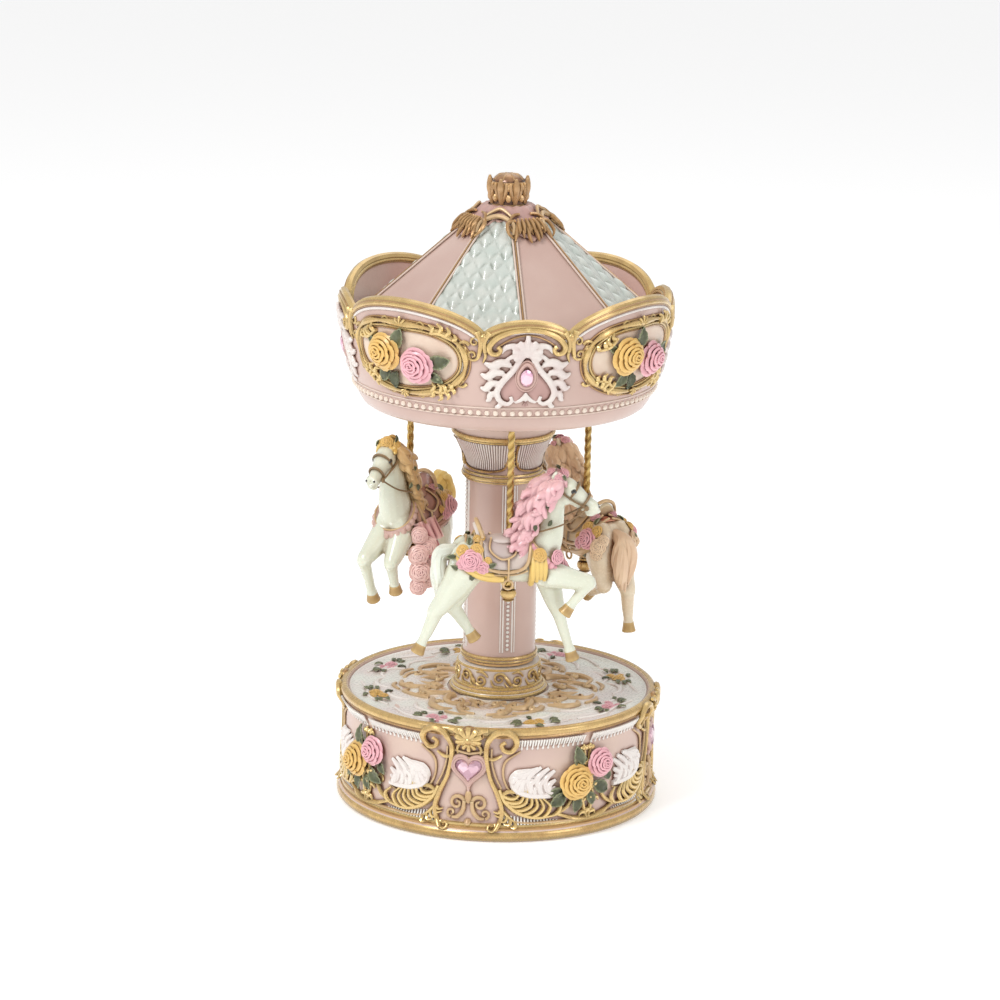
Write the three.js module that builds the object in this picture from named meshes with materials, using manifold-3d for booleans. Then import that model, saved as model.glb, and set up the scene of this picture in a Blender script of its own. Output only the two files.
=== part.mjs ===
// Wind-up carousel music box: a round ornamental base that holds a comb-and-cylinder movement, a column and
// canopy that turn on it, and three horses on poles that ride up and down under the canopy.
// Units are millimetres, +Z is up, and the origin is the centre of the base's underside.
// The front of the object faces -Y. Angles are in degrees, counted from +X towards +Y.

import * as THREE from "three";
import { mergeVertices } from "three/addons/utils/BufferGeometryUtils.js";
import Module from "manifold-3d";

// ---------------------------------------------------------------- driving dimensions

const HEIGHT = 185;
const FOOT_R = 47;
const DECK_Z = 32;
const CAVITY_TOP_Z = 29;
const CAVITY_R = 41;
const COLUMN_R = 10.7;
const COLUMN_FOOT_Z = 42.2;
const TRAY_Z = 118.7;
const TRAY_THICK = 2.5;
const EAVES_Z = 143.2;
const RIM_PEAK_Z = 155;
const GAP = 0.3;

const CANOPY_TURN = -82.5;
const BASE_TURN = -100;
const FOLDS = 4;

const POLE_RING_R = 30.2;
const POLE_R = 1;
const POLE_TOP_Z = 134.5;
const BORE_R = POLE_R + GAP;
const HORSE_Z = 78.4;
const HORSE_ANGLES = [-85.6, 34.4, 154.4];
const BOB = 3.1;
const BOB_PEAK_ANGLE = -157;

// The movement: the barrel stands beside the column, and the cylinder points away from the barrel.
const BARREL_TEETH = 25;
const WHEEL_TEETH = 27;
const SPUR_MODULE = 0.8;
const BARREL_X = -((BARREL_TEETH + WHEEL_TEETH) * SPUR_MODULE) / 2;
const CYLINDER_TURN = 60;
const CYLINDER_Z = 20.3;
const PINION_TEETH = 8;
const PINION_MODULE = 1;
const CROWN_TEETH = 24;
const WORM_WHEEL_TEETH = 20;
const WORM_MODULE = 0.6;
const COVER_Z = 8.8;
const COVER_THICK = 2.2;
const PLATE_Z = COVER_Z + COVER_THICK + GAP;
const PLATE_THICK = 2;
const PLATE_TOP_Z = PLATE_Z + PLATE_THICK;
const COMB_SCREWS = [20, 28.8];
const PLATE_SCREWS = [[-5.5, -10.4], [9.5, 24], [-25.5, 19]];

const RESIN_PINK = new THREE.MeshStandardMaterial({ color: 0xe9c8c4, roughness: 0.45, metalness: 0 });
const RESIN_WHITE = new THREE.MeshStandardMaterial({ color: 0xeceee2, roughness: 0.4, metalness: 0 });
const GOLD = new THREE.MeshStandardMaterial({ color: 0xc9a050, roughness: 0.35, metalness: 0.6 });
const BRASS = new THREE.MeshStandardMaterial({ color: 0xc2a05a, roughness: 0.3, metalness: 1 });
const STEEL = new THREE.MeshStandardMaterial({ color: 0xb4b6ba, roughness: 0.3, metalness: 1 });
const ZINC = new THREE.MeshStandardMaterial({ color: 0x9a9c9e, roughness: 0.5, metalness: 1 });
const PLASTIC = new THREE.MeshStandardMaterial({ color: 0xe8e4da, roughness: 0.5, metalness: 0 });
const CARD = new THREE.MeshStandardMaterial({ color: 0xf0dfe0, roughness: 0.8, metalness: 0 });
const GEM = new THREE.MeshStandardMaterial({ color: 0xf0b8d8, roughness: 0.05, metalness: 0 });

// ---------------------------------------------------------------- geometry helpers

const wasm = await Module();
wasm.setup();

const rad = THREE.MathUtils.degToRad;

/** The merged, outward-facing positions and triangles of a closed geometry, as a manifold solid. */
function solidOf(geometry) {
  const bare = new THREE.BufferGeometry().setAttribute("position", geometry.getAttribute("position").clone());
  if (geometry.index) bare.setIndex(geometry.index.clone());
  const merged = mergeVertices(bare, 1e-4);
  const kept = [];
  const index = merged.index.array;
  for (let i = 0; i < index.length; i += 3) {
    const [a, b, c] = [index[i], index[i + 1], index[i + 2]];
    if (a !== b && b !== c && c !== a) kept.push(a, b, c);
  }
  const vertProperties = merged.attributes.position.array;
  const triVerts = new Uint32Array(kept);
  const made = new wasm.Manifold(new wasm.Mesh({ numProp: 3, vertProperties, triVerts }));
  if (made.volume() > 0) return made;
  const turned = kept.map((_, i) => kept[i - (i % 3) + ((3 - (i % 3)) % 3)]);
  return new wasm.Manifold(new wasm.Mesh({ numProp: 3, vertProperties, triVerts: new Uint32Array(turned) }));
}

/** A manifold solid as a three.js geometry. */
function geometryOf(solid) {
  const mesh = solid.getMesh();
  const step = mesh.numProp;
  const positions = new Float32Array(mesh.numVert * 3);
  for (let i = 0; i < mesh.numVert; i++) {
    positions.set(mesh.vertProperties.subarray(i * step, i * step + 3), i * 3);
  }
  const geometry = new THREE.BufferGeometry();
  geometry.setAttribute("position", new THREE.BufferAttribute(positions, 3));
  geometry.setIndex(new THREE.BufferAttribute(new Uint32Array(mesh.triVerts), 1));
  geometry.computeVertexNormals();
  return geometry;
}

/** The union of several closed geometries. */
function join(...geometries) {
  const solids = geometries.map(solidOf);
  return geometryOf(solids.slice(1).reduce((whole, next) => whole.add(next), solids[0]));
}

/** The first geometry with all the others cut out of it. */
function cut(geometry, ...tools) {
  return geometryOf(tools.map(solidOf).reduce((whole, tool) => whole.subtract(tool), solidOf(geometry)));
}

/** A turned solid about +Z. The profile is [radius, z] pairs, and it closes on itself or on the axis. */
function turned(profile, segments = 32) {
  const onAxis = profile[0][0] === 0;
  const points = profile.map(([r, z]) => new THREE.Vector2(r, z));
  if (!onAxis) points.push(points[0].clone());
  const geometry = new THREE.LatheGeometry(points, segments);
  geometry.rotateX(Math.PI / 2);
  return geometryOf(solidOf(geometry));
}

/** A round rod along +Z. */
function rod(radius, z0, z1, segments = 12) {
  return turned([[0, z0], [radius, z0], [radius, z1], [0, z1]], segments);
}

/** A flat outline in XY pulled up from z0 to z1. */
function pulled(shape, z0, z1, curveSegments = 8) {
  const geometry = new THREE.ExtrudeGeometry(shape, { depth: z1 - z0, bevelEnabled: false, curveSegments });
  geometry.translate(0, 0, z0);
  return geometry;
}

/** A box from its lowest to its highest corner. */
function block([x0, y0, z0], [x1, y1, z1]) {
  const geometry = new THREE.BoxGeometry(x1 - x0, y1 - y0, z1 - z0);
  geometry.translate((x0 + x1) / 2, (y0 + y1) / 2, (z0 + z1) / 2);
  return geometry;
}

/** A tapered limb between two points, with rounded ends, or with plain domed ones where it is slim. */
function limb(from, to, r0, r1, sides, rounded = false) {
  const start = new THREE.Vector3(...from);
  const along = new THREE.Vector3(...to).sub(start);
  const length = along.length();
  const round = [
    [0, -r0], [0.87 * r0, -0.5 * r0], [r0, 0], [r1, length], [0.87 * r1, length + 0.5 * r1], [0, length + r1],
  ];
  const domed = [[0, -0.8 * r0], [r0, 0], [r1, length], [0, length + 0.8 * r1]];
  const profile = rounded ? round : domed;
  const geometry = new THREE.LatheGeometry(profile.map(([r, h]) => new THREE.Vector2(r, h)), sides);
  const turn = new THREE.Quaternion().setFromUnitVectors(new THREE.Vector3(0, 1, 0), along.normalize());
  return geometry.applyQuaternion(turn).translate(start.x, start.y, start.z);
}

/** An egg-shaped solid with its own three half-axes. */
function egg([x, y, z], [rx, ry, rz], across = 10, up = 6) {
  return new THREE.SphereGeometry(1, across, up).scale(rx, ry, rz).translate(x, y, z);
}

/** The outline of a spur gear with straight-flanked teeth, the first one on +X. */
function gearShape(teeth, module, { addendum = 0.7, dedendum = 0.95 } = {}) {
  const pitchR = (teeth * module) / 2;
  const rootR = pitchR - dedendum * module;
  const tipR = pitchR + addendum * module;
  const step = (2 * Math.PI) / teeth;
  const corners = [[-0.25, rootR], [-0.11, tipR], [0.11, tipR], [0.25, rootR]];
  const points = [];
  for (let i = 0; i < teeth; i++) {
    for (const [share, radius] of corners) {
      const angle = (i + share) * step;
      points.push(new THREE.Vector2(radius * Math.cos(angle), radius * Math.sin(angle)));
    }
  }
  return new THREE.Shape(points);
}

/** A point at a radius and an angle in degrees. */
function polar(radius, degrees, z = 0) {
  return [radius * Math.cos(rad(degrees)), radius * Math.sin(rad(degrees)), z];
}

const root = new THREE.Group();

/** Adds one named piece to a group. */
function add(group, name, geometry, material) {
  const mesh = new THREE.Mesh(geometry, material);
  mesh.name = name;
  group.add(mesh);
  return mesh;
}

/** Adds a group at a place, turned about +Z. */
function frameAt(parent, [x, y, z], degrees = 0) {
  const group = new THREE.Group();
  group.position.set(x, y, z);
  group.rotation.z = rad(degrees);
  parent.add(group);
  return group;
}

// ---------------------------------------------------------------- base: drum, plinth, cover

const RIM_R = 46;
const DECK_HOLE_R = 7;
const BOSS_R = 38;
const BOSS_ANGLES = [60, 180, 300];
const SOUND_R = 24;
const SOUND_ANGLES = [-50, -30, -10, 10, 30];

/** The cast drum: a bead foot, an upright wall, a raised gold rim and a deck, hollow below the deck. */
function baseShell() {
  const drum = turned([
    [CAVITY_R, 0], [FOOT_R - 0.8, 0], [FOOT_R, 1.2], [FOOT_R, 3.6], [45.2, 6], [44.5, 28.6], [45.5, 30.9],
    [RIM_R, 32.6], [45.1, 33.6], [43.6, DECK_Z], [DECK_HOLE_R, DECK_Z], [DECK_HOLE_R, CAVITY_TOP_Z],
    [CAVITY_R, CAVITY_TOP_Z],
  ], 36);
  const bossZ = COVER_Z + COVER_THICK + GAP;
  const onRing = (post) => BOSS_ANGLES.map((angle) => post.clone().translate(...polar(BOSS_R, angle)));
  const bosses = onRing(rod(3.4, bossZ, CAVITY_TOP_Z + 1, 12));
  const pilots = onRing(rod(1.2, bossZ - 1, 21, 8));
  return cut(join(drum, ...bosses), ...pilots);
}

/** The scrolled foot of the column, fixed on the deck round the bearing. */
function columnPlinth() {
  const z = DECK_Z + GAP;
  return turned([
    [DECK_HOLE_R, z], [13.9, z], [14.2, z + 0.9], [13.7, z + 1.9], [12.9, z + 2.5], [12.6, z + 4.2],
    [12.6, z + 7.6], [12, z + 8.7], [DECK_HOLE_R, z + 8.7],
  ], 24);
}

/** The brass bearing that the drive sleeve turns in, with its flange under the deck. */
function deckBush() {
  return turned([[5.3, 27.4], [9.5, 27.4], [9.5, 28.7], [6.7, 28.7], [6.7, 34], [5.3, 34]], 20);
}

/** The round cover over the movement, with screw holes, a key hole and a row of sound holes. */
function bottomCover() {
  const z0 = COVER_Z;
  const z1 = COVER_Z + COVER_THICK;
  const disc = turned([[0, z0], [CAVITY_R - GAP, z0], [CAVITY_R - GAP, z1], [0, z1]], 32);
  const hole = (r, steps, x, y) => rod(r, z0 - 1, z1 + 1, steps).translate(x, y, 0);
  const screwHoles = BOSS_ANGLES.map((angle) => hole(1.5, 8, ...polar(BOSS_R, angle)));
  const soundHoles = SOUND_ANGLES.map((angle) => hole(2, 8, ...polar(SOUND_R, angle)));
  const plateHoles = PLATE_SCREWS.map(([x, y]) => hole(1.2, 8, x, y));
  const keyHole = hole(3.2, 12, BARREL_X, 0);
  return cut(disc, ...screwHoles, ...soundHoles, ...plateHoles, keyHole);
}

/** A round-headed screw that points up, with the underside of its head at z. */
function screw(z, headR, shankR, length) {
  return turned([
    [0, z - 1.3], [headR * 0.65, z - 1.3], [headR, z - 0.6], [headR, z], [shankR, z], [shankR, z + length],
    [0, z + length + 0.5],
  ], 10);
}

const HEART_HALF = 3.8;
const HEART_DEPTH = 3.2;
const FACET = 0.22;

/** A heart outline of unit half-width, point down. */
function heartShape() {
  const shape = new THREE.Shape();
  shape.moveTo(0, -1.1);
  shape.bezierCurveTo(-0.5, -0.7, -1, -0.25, -1, 0.3);
  shape.bezierCurveTo(-1, 0.95, -0.2, 1.1, 0, 0.5);
  shape.bezierCurveTo(0.2, 1.1, 1, 0.95, 1, 0.3);
  shape.bezierCurveTo(1, -0.25, 0.5, -0.7, 0, -1.1);
  return shape;
}

/** A cut heart stone standing upright, facing +X. */
function heartGem() {
  const stone = new THREE.ExtrudeGeometry(heartShape(), {
    depth: 0.1,
    bevelEnabled: true,
    bevelThickness: 0.18,
    bevelSize: FACET,
    bevelOffset: -FACET,
    bevelSegments: 1,
    curveSegments: 4,
  });
  stone.scale(HEART_HALF, HEART_HALF, HEART_DEPTH);
  stone.rotateX(Math.PI / 2).rotateZ(Math.PI / 2);
  return geometryOf(solidOf(stone));
}

const GEM_R = 45.9;
const GEM_Z = 21;
const base = frameAt(root, [0, 0, 0]);
add(base, "base_shell", baseShell(), RESIN_PINK);
add(base, "column_plinth", columnPlinth(), RESIN_WHITE);
add(base, "deck_bush", deckBush(), BRASS);
add(base, "thrust_washer", turned([[5.8, 41.3], [10.4, 41.3], [10.4, 41.9], [5.8, 41.9]], 20), PLASTIC);
add(base, "bottom_cover", bottomCover(), CARD);
BOSS_ANGLES.forEach((angle, i) => {
  const place = frameAt(base, polar(BOSS_R, angle));
  add(place, `cover_screw_${i + 1}`, screw(COVER_Z - GAP, 2.4, 0.9, 11), STEEL);
});
for (let i = 0; i < FOLDS; i++) {
  const angle = BASE_TURN + (360 / FOLDS) * i;
  const place = frameAt(base, polar(GEM_R, angle, GEM_Z), angle);
  add(place, `heart_gem_${i + 1}`, heartGem(), GEM);
}

// ---------------------------------------------------------------- fixed post and lifting rail inside the canopy

const RAIL_Z = 131;
const RAIL_R = 24.6;

/** How far a horse is above its middle height when its pole stands at an angle. */
function lift(degrees) {
  return BOB * Math.cos(rad(degrees - BOB_PEAK_ANGLE));
}

/** The steel post through the hollow column: it never turns, and it holds the lifting rail. */
function centrePost() {
  const z = PLATE_TOP_Z + GAP;
  return turned([[0, z], [4, z], [4, z + 1.4], [1.5, z + 2], [1.5, 137], [0, 137.5]], 12);
}

/** A wheel whose rim carries a lip that rises and falls once a turn, and lifts each pole as it passes. */
function liftingRail() {
  const lip = 0.8;
  const profile = [
    [1.8, 127], [4, 127], [4, 130.2], [21.4, 130.2], [21.4, 125.6], [23, 125.6],
    [23, RAIL_Z - lip], [RAIL_R, RAIL_Z - lip], [RAIL_R, RAIL_Z + lip], [23, RAIL_Z + lip],
    [23, 136.4], [21.4, 136.4], [21.4, 131.4], [4, 131.4], [4, 135], [1.8, 135],
  ];
  const wheel = turned(profile, 20);
  const positions = wheel.getAttribute("position");
  for (let i = 0; i < positions.count; i++) {
    const [x, y, z] = [positions.getX(i), positions.getY(i), positions.getZ(i)];
    const onLip = Math.hypot(x, y) > 22.9 && Math.abs(z - RAIL_Z) < 1.5;
    if (onLip) positions.setZ(i, z + lift(THREE.MathUtils.radToDeg(Math.atan2(y, x))));
  }
  return wheel;
}

add(base, "centre_post", centrePost(), STEEL);
add(base, "lifting_rail", liftingRail(), PLASTIC);

// ---------------------------------------------------------------- movement: bedplate, comb, governor bracket

const movement = frameAt(root, [BARREL_X, 0, 0], CYLINDER_TURN);
const CYLINDER_R = 6;
const CYLINDER_START = 16.4;
const CYLINDER_END = 32.4;
const BRACKETS = [[13.9, 15.4], [35.4, 36.9]];
const WORM_X = 33.8;
const WORM_Y = 7.9;

/** The cast bedplate with two cylinder brackets and the block that the comb is screwed to. */
function bedplate() {
  const outline = new THREE.Shape([
    [-33.4, -8], [-28, -13], [-8, -14], [7, -7], [8, 4], [16, 14], [14, 24], [4, 37.5], [-16, 36], [-30, 22],
    [-33.4, 8],
  ].map(([x, y]) => new THREE.Vector2(x, y)));
  const plate = pulled(outline, PLATE_Z, PLATE_TOP_Z);
  const toPlate = (geometry) => geometry.rotateZ(rad(CYLINDER_TURN)).translate(BARREL_X, 0, 0);
  const brackets = BRACKETS.map(([x0, x1]) => {
    const post = block([x0, -2.6, PLATE_TOP_Z - 0.5], [x1, 2.6, CYLINDER_Z + 2.4]);
    const bore = rod(BORE_R, x0 - 1, x1 + 1, 12).rotateY(Math.PI / 2).translate(0, 0, CYLINDER_Z);
    return toPlate(cut(post, bore));
  });
  const combFoot = block([CYLINDER_START, -20.6, PLATE_TOP_Z - 0.5], [CYLINDER_END, -15.6, CYLINDER_Z - 0.6]);
  const combBlock = toPlate(combFoot);
  const arborHole = rod(3, PLATE_Z - 1, PLATE_TOP_Z + 1, 12).translate(BARREL_X, 0, 0);
  const combHoles = COMB_SCREWS.map((x) => toPlate(rod(1, 15, CYLINDER_Z, 8).translate(x, -18.1, 0)));
  const plateHole = rod(1.4, PLATE_Z - 1, PLATE_TOP_Z + 1, 8);
  const plateHoles = PLATE_SCREWS.map(([x, y]) => plateHole.clone().translate(x, y, 0));
  return cut(join(plate, ...brackets, combBlock), arborHole, ...combHoles, ...plateHoles);
}

/** The steel comb: eighteen tuned teeth that point at the cylinder, cut from one plate. */
function comb() {
  const tipY = -7.1;
  const slotEndY = -14.2;
  const pitch = (CYLINDER_END - CYLINDER_START - 0.6) / 18;
  const outline = new THREE.Shape();
  const x0 = CYLINDER_START + 0.3;
  outline.moveTo(x0, -20.6);
  outline.lineTo(x0 + 18 * pitch, -20.6);
  for (let i = 17; i >= 0; i--) {
    outline.lineTo(x0 + (i + 0.85) * pitch, slotEndY);
    outline.lineTo(x0 + (i + 0.85) * pitch, tipY);
    outline.lineTo(x0 + (i + 0.15) * pitch, tipY);
    outline.lineTo(x0 + (i + 0.15) * pitch, slotEndY);
  }
  const plate = pulled(outline, CYLINDER_Z - 0.3, CYLINDER_Z + 0.5);
  const holes = COMB_SCREWS.map((x) => rod(1.2, CYLINDER_Z - 1, CYLINDER_Z + 1, 8).translate(x, -18.1, 0));
  return cut(plate, ...holes);
}

/** The bracket with two arms that holds the upright governor shaft. */
function governorBracket() {
  const z = PLATE_TOP_Z + GAP;
  const spine = block([WORM_X - 1.6, WORM_Y + 3, z], [WORM_X + 1.6, WORM_Y + 4.2, 25.4]);
  const foot = block([WORM_X - 1.6, WORM_Y - 1.4, z], [WORM_X + 1.6, WORM_Y + 4.2, z + 1.2]);
  const arm = block([WORM_X - 1.6, WORM_Y - 1.2, 24.4], [WORM_X + 1.6, WORM_Y + 4.2, 25.4]);
  return cut(join(spine, foot, arm), rod(0.9, z - 1, 27, 8).translate(WORM_X, WORM_Y, 0));
}

const movementPlate = add(root, "movement_bedplate", bedplate(), ZINC);
movementPlate.position.set(0, 0, 0);
PLATE_SCREWS.forEach(([x, y], i) => {
  const head = turned([
    [0, COVER_Z + 0.4], [0.9, COVER_Z + 0.4], [0.9, PLATE_TOP_Z + GAP], [2, PLATE_TOP_Z + GAP],
    [2, PLATE_TOP_Z + 1], [1.3, PLATE_TOP_Z + 1.5], [0, PLATE_TOP_Z + 1.5],
  ], 10);
  add(frameAt(root, [x, y, 0]), `bedplate_screw_${i + 1}`, head, STEEL);
});
add(movement, "comb", comb(), STEEL);
COMB_SCREWS.forEach((x, i) => {
  const z = CYLINDER_Z + 0.5 + GAP;
  const body = turned([
    [0, z - 3.6], [0.7, z - 3.6], [0.7, z], [1.9, z], [1.9, z + 0.7], [1.2, z + 1.2], [0, z + 1.2],
  ], 10);
  add(frameAt(movement, [x, -18.1, 0]), `comb_screw_${i + 1}`, body, STEEL);
});
add(movement, "governor_bracket", governorBracket(), BRASS);

// ---------------------------------------------------------------- movement: barrel, spring, arbor and key

const BARREL_GEAR_Z = [23.8, 26.4];

/** The spring barrel: a crown gear below drives the cylinder, and a spur gear above drives the column. */
function springBarrel() {
  const drum = turned([
    [2.3, 14.4], [12.9, 14.4], [12.9, 15.6], [10, 15.6], [10, 23.2], [9.2, 23.2], [9.2, 24.2], [2.3, 24.2],
    [2.3, 22.4], [9, 22.4], [9, 15.4], [2.3, 15.4],
  ], 24);
  const hub = cut(pulled(gearShape(BARREL_TEETH, SPUR_MODULE), ...BARREL_GEAR_Z), rod(2.3, 20, 30, 12));
  const outline = [[-0.7, -0.4], [0.7, -0.4], [0.34, 1.3], [-0.34, 1.3]];
  const tooth = new THREE.Shape(outline.map(([x, y]) => new THREE.Vector2(x, y)));
  const pitch = 360 / CROWN_TEETH;
  const teeth = [];
  for (let i = 0; i < CROWN_TEETH; i++) {
    const one = new THREE.ExtrudeGeometry(tooth, { depth: 1.9, bevelEnabled: false });
    one.rotateX(Math.PI / 2).rotateZ(Math.PI / 2).translate(10.95, 0, 15.6);
    teeth.push(one.rotateZ(rad(pitch * (i + 0.5))));
  }
  return join(drum, hub, ...teeth);
}

/** The coiled mainspring inside the barrel: a flat strip on a spiral. */
function mainspring() {
  const turns = 3;
  const steps = turns * 10;
  const inner = [];
  const outer = [];
  for (let i = 0; i <= steps; i++) {
    const angle = (i / steps) * turns * 2 * Math.PI;
    const radius = 3 + (i / steps) * 5.3;
    inner.push(new THREE.Vector2(radius * Math.cos(angle), radius * Math.sin(angle)));
    outer.unshift(new THREE.Vector2((radius + 0.4) * Math.cos(angle), (radius + 0.4) * Math.sin(angle)));
  }
  return pulled(new THREE.Shape([...inner, ...outer]), 15.8, 22);
}

/** The winding arbor: its slim end takes the key, and its body turns inside the barrel. */
function windingArbor() {
  return turned([[0, 2.4], [1.4, 2.4], [1.4, 8.6], [2, 9.2], [2, 26.8], [0, 27.2]], 12);
}

/** The butterfly key: a threaded hub and two pierced wings. */
function windingKey() {
  const hub = turned([[0, 1.4], [2.4, 1.4], [3, 2], [3, 7.6], [2.4, 8.2], [0, 8.2]], 12);
  const outline = new THREE.Shape();
  outline.absellipse(5.4, 4.4, 4.6, 3.4, 0, Math.PI * 2);
  const eye = new THREE.Path();
  eye.absellipse(6.2, 4.4, 1.9, 1.5, 0, Math.PI * 2);
  outline.holes.push(eye);
  const wings = [0, 180].map((angle) => {
    const wing = new THREE.ExtrudeGeometry(outline, { depth: 1.4, bevelEnabled: false, curveSegments: 5 });
    return wing.rotateX(Math.PI / 2).translate(0, 0.7, 0).rotateZ(rad(angle));
  });
  return cut(join(hub, ...wings), rod(1.7, 2.1, 9, 10));
}

const barrel = frameAt(root, [BARREL_X, 0, 0]);
add(barrel, "spring_barrel", springBarrel(), BRASS);
add(barrel, "mainspring", mainspring(), STEEL);
add(barrel, "winding_arbor", windingArbor(), STEEL);
add(barrel, "winding_key", windingKey(), BRASS);

// ---------------------------------------------------------------- movement: cylinder train and governor

/** The pinned cylinder, on its own axis along +Z: short pins stand in rows where the teeth are plucked. */
function pinCylinder() {
  const drum = turned([
    [BORE_R, CYLINDER_START], [CYLINDER_R, CYLINDER_START], [CYLINDER_R, CYLINDER_END],
    [BORE_R, CYLINDER_END],
  ], 18);
  const pitch = (CYLINDER_END - CYLINDER_START - 0.6) / 18;
  const pins = [];
  for (let i = 0; i < 18; i++) {
    const row = (i * 7) % 18;
    const pin = block([CYLINDER_R - 0.3, -0.2, 0], [CYLINDER_R + 0.5, 0.2, 0.35]);
    pins.push(pin.translate(0, 0, CYLINDER_START + 0.6 + row * pitch).rotateZ(rad(i * 40 + 5)));
  }
  return join(drum, ...pins);
}

/** The cylinder's steel arbor with the pinion that the barrel's crown gear drives. */
function cylinderArbor() {
  const shaft = rod(POLE_R, 10.5, 37.4, 10);
  const shape = gearShape(PINION_TEETH, PINION_MODULE, { addendum: 0.6 });
  return join(shaft, pulled(shape, 11.1, 12.8).rotateZ(-Math.PI / 2));
}

/** The wheel at the cylinder's far end, which the governor's worm runs in. */
function wormWheel() {
  const shape = gearShape(WORM_WHEEL_TEETH, WORM_MODULE, { addendum: 0.8, dedendum: 0.9 });
  return cut(pulled(shape, WORM_X - 0.7, WORM_X + 0.7), rod(BORE_R, 30, 40, 10));
}

/** The governor: an upright shaft with a single-start worm and a two-bladed air brake. */
function governorFly() {
  const pitch = Math.PI * WORM_MODULE;
  const around = 8;
  const rings = 18;
  const [z0, z1] = [17.3, 23.3];
  const profile = [[0, z0]];
  for (let i = 0; i <= rings; i++) profile.push([1.7, z0 + ((z1 - z0) * i) / rings]);
  profile.push([0, z1]);
  const worm = turned(profile, around);
  const positions = worm.getAttribute("position");
  for (let i = 0; i < positions.count; i++) {
    const [x, y, z] = [positions.getX(i), positions.getY(i), positions.getZ(i)];
    const radius = Math.hypot(x, y);
    if (radius < 1) continue;
    const turn = (z - CYLINDER_Z) / pitch - (Math.atan2(y, x) + Math.PI / 2) / (2 * Math.PI);
    const grown = 1.72 - 0.42 * Math.cos(2 * Math.PI * turn);
    positions.setXY(i, (x / radius) * grown, (y / radius) * grown);
  }
  const shaft = rod(0.6, PLATE_TOP_Z + GAP + 0.4, 28.6, 8);
  const blades = block([-3.7, -0.25, 26.1], [3.7, 0.25, 28.5]);
  return join(worm, shaft, blades);
}

const cylinderAxis = new THREE.Group();
cylinderAxis.position.set(0, 0, CYLINDER_Z);
cylinderAxis.rotation.set(Math.PI / 2, 0, Math.PI / 2, "ZXY");
movement.add(cylinderAxis);
add(cylinderAxis, "pin_cylinder", pinCylinder(), BRASS);
add(cylinderAxis, "cylinder_arbor", cylinderArbor(), STEEL);
add(cylinderAxis, "worm_wheel", wormWheel(), PLASTIC);
add(frameAt(movement, [WORM_X, WORM_Y, 0]), "governor_fly", governorFly(), BRASS);

// ---------------------------------------------------------------- turning column

const carousel = frameAt(root, [0, 0, 0]);

/** The hollow column with a ring at its foot, a ring under the capital and a flared, ribbed capital. */
function column() {
  const z = COLUMN_FOOT_Z;
  return turned([
    [5.3, z], [11.2, z], [11.5, z + 0.7], [11.5, z + 1.6], [COLUMN_R, z + 3.4], [COLUMN_R, 95.6],
    [11.9, 97], [11.9, 98.6], [11.3, 99.4], [11.8, 104], [14.5, 108.8], [15.5, 109.3], [15.5, 110.7],
    [14.4, 111.4], [14.4, TRAY_Z - GAP], [5.3, TRAY_Z - GAP],
  ], 20);
}

/** The brass sleeve that carries the column and turns in the deck bush. */
function driveSleeve() {
  return turned([[2.2, 23], [5, 23], [5, 62], [2.2, 62]], 20);
}

/** The spur wheel on the sleeve, driven by the barrel. */
function driveWheel() {
  const gear = pulled(gearShape(WHEEL_TEETH, SPUR_MODULE), ...BARREL_GEAR_Z);
  const gapOnMesh = 180 + 180 / WHEEL_TEETH;
  return cut(gear, rod(5.3, 20, 30, 20)).rotateZ(rad(gapOnMesh));
}

add(carousel, "column", column(), RESIN_PINK);
add(carousel, "drive_sleeve", driveSleeve(), BRASS);
add(carousel, "drive_wheel", driveWheel(), BRASS);

// ---------------------------------------------------------------- canopy

const canopy = frameAt(carousel, [0, 0, 0], CANOPY_TURN);
const TRAY_R = 38.6;

/** The flat floor of the canopy, with a hole for each pole bush and for the post. */
function canopyTray() {
  const z1 = TRAY_Z + TRAY_THICK;
  const disc = turned([[5.3, TRAY_Z], [TRAY_R, TRAY_Z], [TRAY_R, z1], [5.3, z1]], 32);
  const bushHole = rod(2.5, TRAY_Z - 1, z1 + 1, 12);
  const spots = HORSE_ANGLES.map((angle) => polar(POLE_RING_R, angle - CANOPY_TURN));
  const holes = spots.map((spot) => bushHole.clone().translate(...spot));
  return cut(disc, ...holes);
}

/** Height of the rounding board's top edge: narrow and broad scallops by turns, with a dip where they meet. */
function rimTop(degrees) {
  const cell = 360 / FOLDS;
  const fromNarrow = Math.abs(((((degrees + cell / 2) % cell) + cell) % cell) - cell / 2);
  const narrowHalf = 15;
  const dipZ = 146.6;
  const isNarrow = fromNarrow < narrowHalf;
  const half = isNarrow ? narrowHalf : cell / 2 - narrowHalf;
  const along = isNarrow ? fromNarrow / half : (cell / 2 - fromNarrow) / half;
  const peak = isNarrow ? 151.4 : RIM_PEAK_Z;
  return dipZ + (peak - dipZ) * Math.pow(Math.max(0, 1 - along * along), 0.6);
}

/** The rounding board: a bowl-shaped ring whose upper edge runs in scallops. */
function roundingBoard() {
  const straightZ = 142;
  const fullZ = RIM_PEAK_Z;
  const ring = turned([
    [39, 118.6], [41.2, 119.8], [43.2, 123.6], [44.9, 128.8], [47.2, straightZ],
    [49, fullZ], [46.6, fullZ], [45.2, straightZ], [42.4, 128.8], [39, 121.6],
  ], 48);
  const positions = ring.getAttribute("position");
  for (let i = 0; i < positions.count; i++) {
    const z = positions.getZ(i);
    if (z <= straightZ + 0.01) continue;
    const angle = THREE.MathUtils.radToDeg(Math.atan2(positions.getY(i), positions.getX(i)));
    positions.setZ(i, straightZ + ((z - straightZ) / (fullZ - straightZ)) * (rimTop(angle) - straightZ));
  }
  return ring;
}

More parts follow.
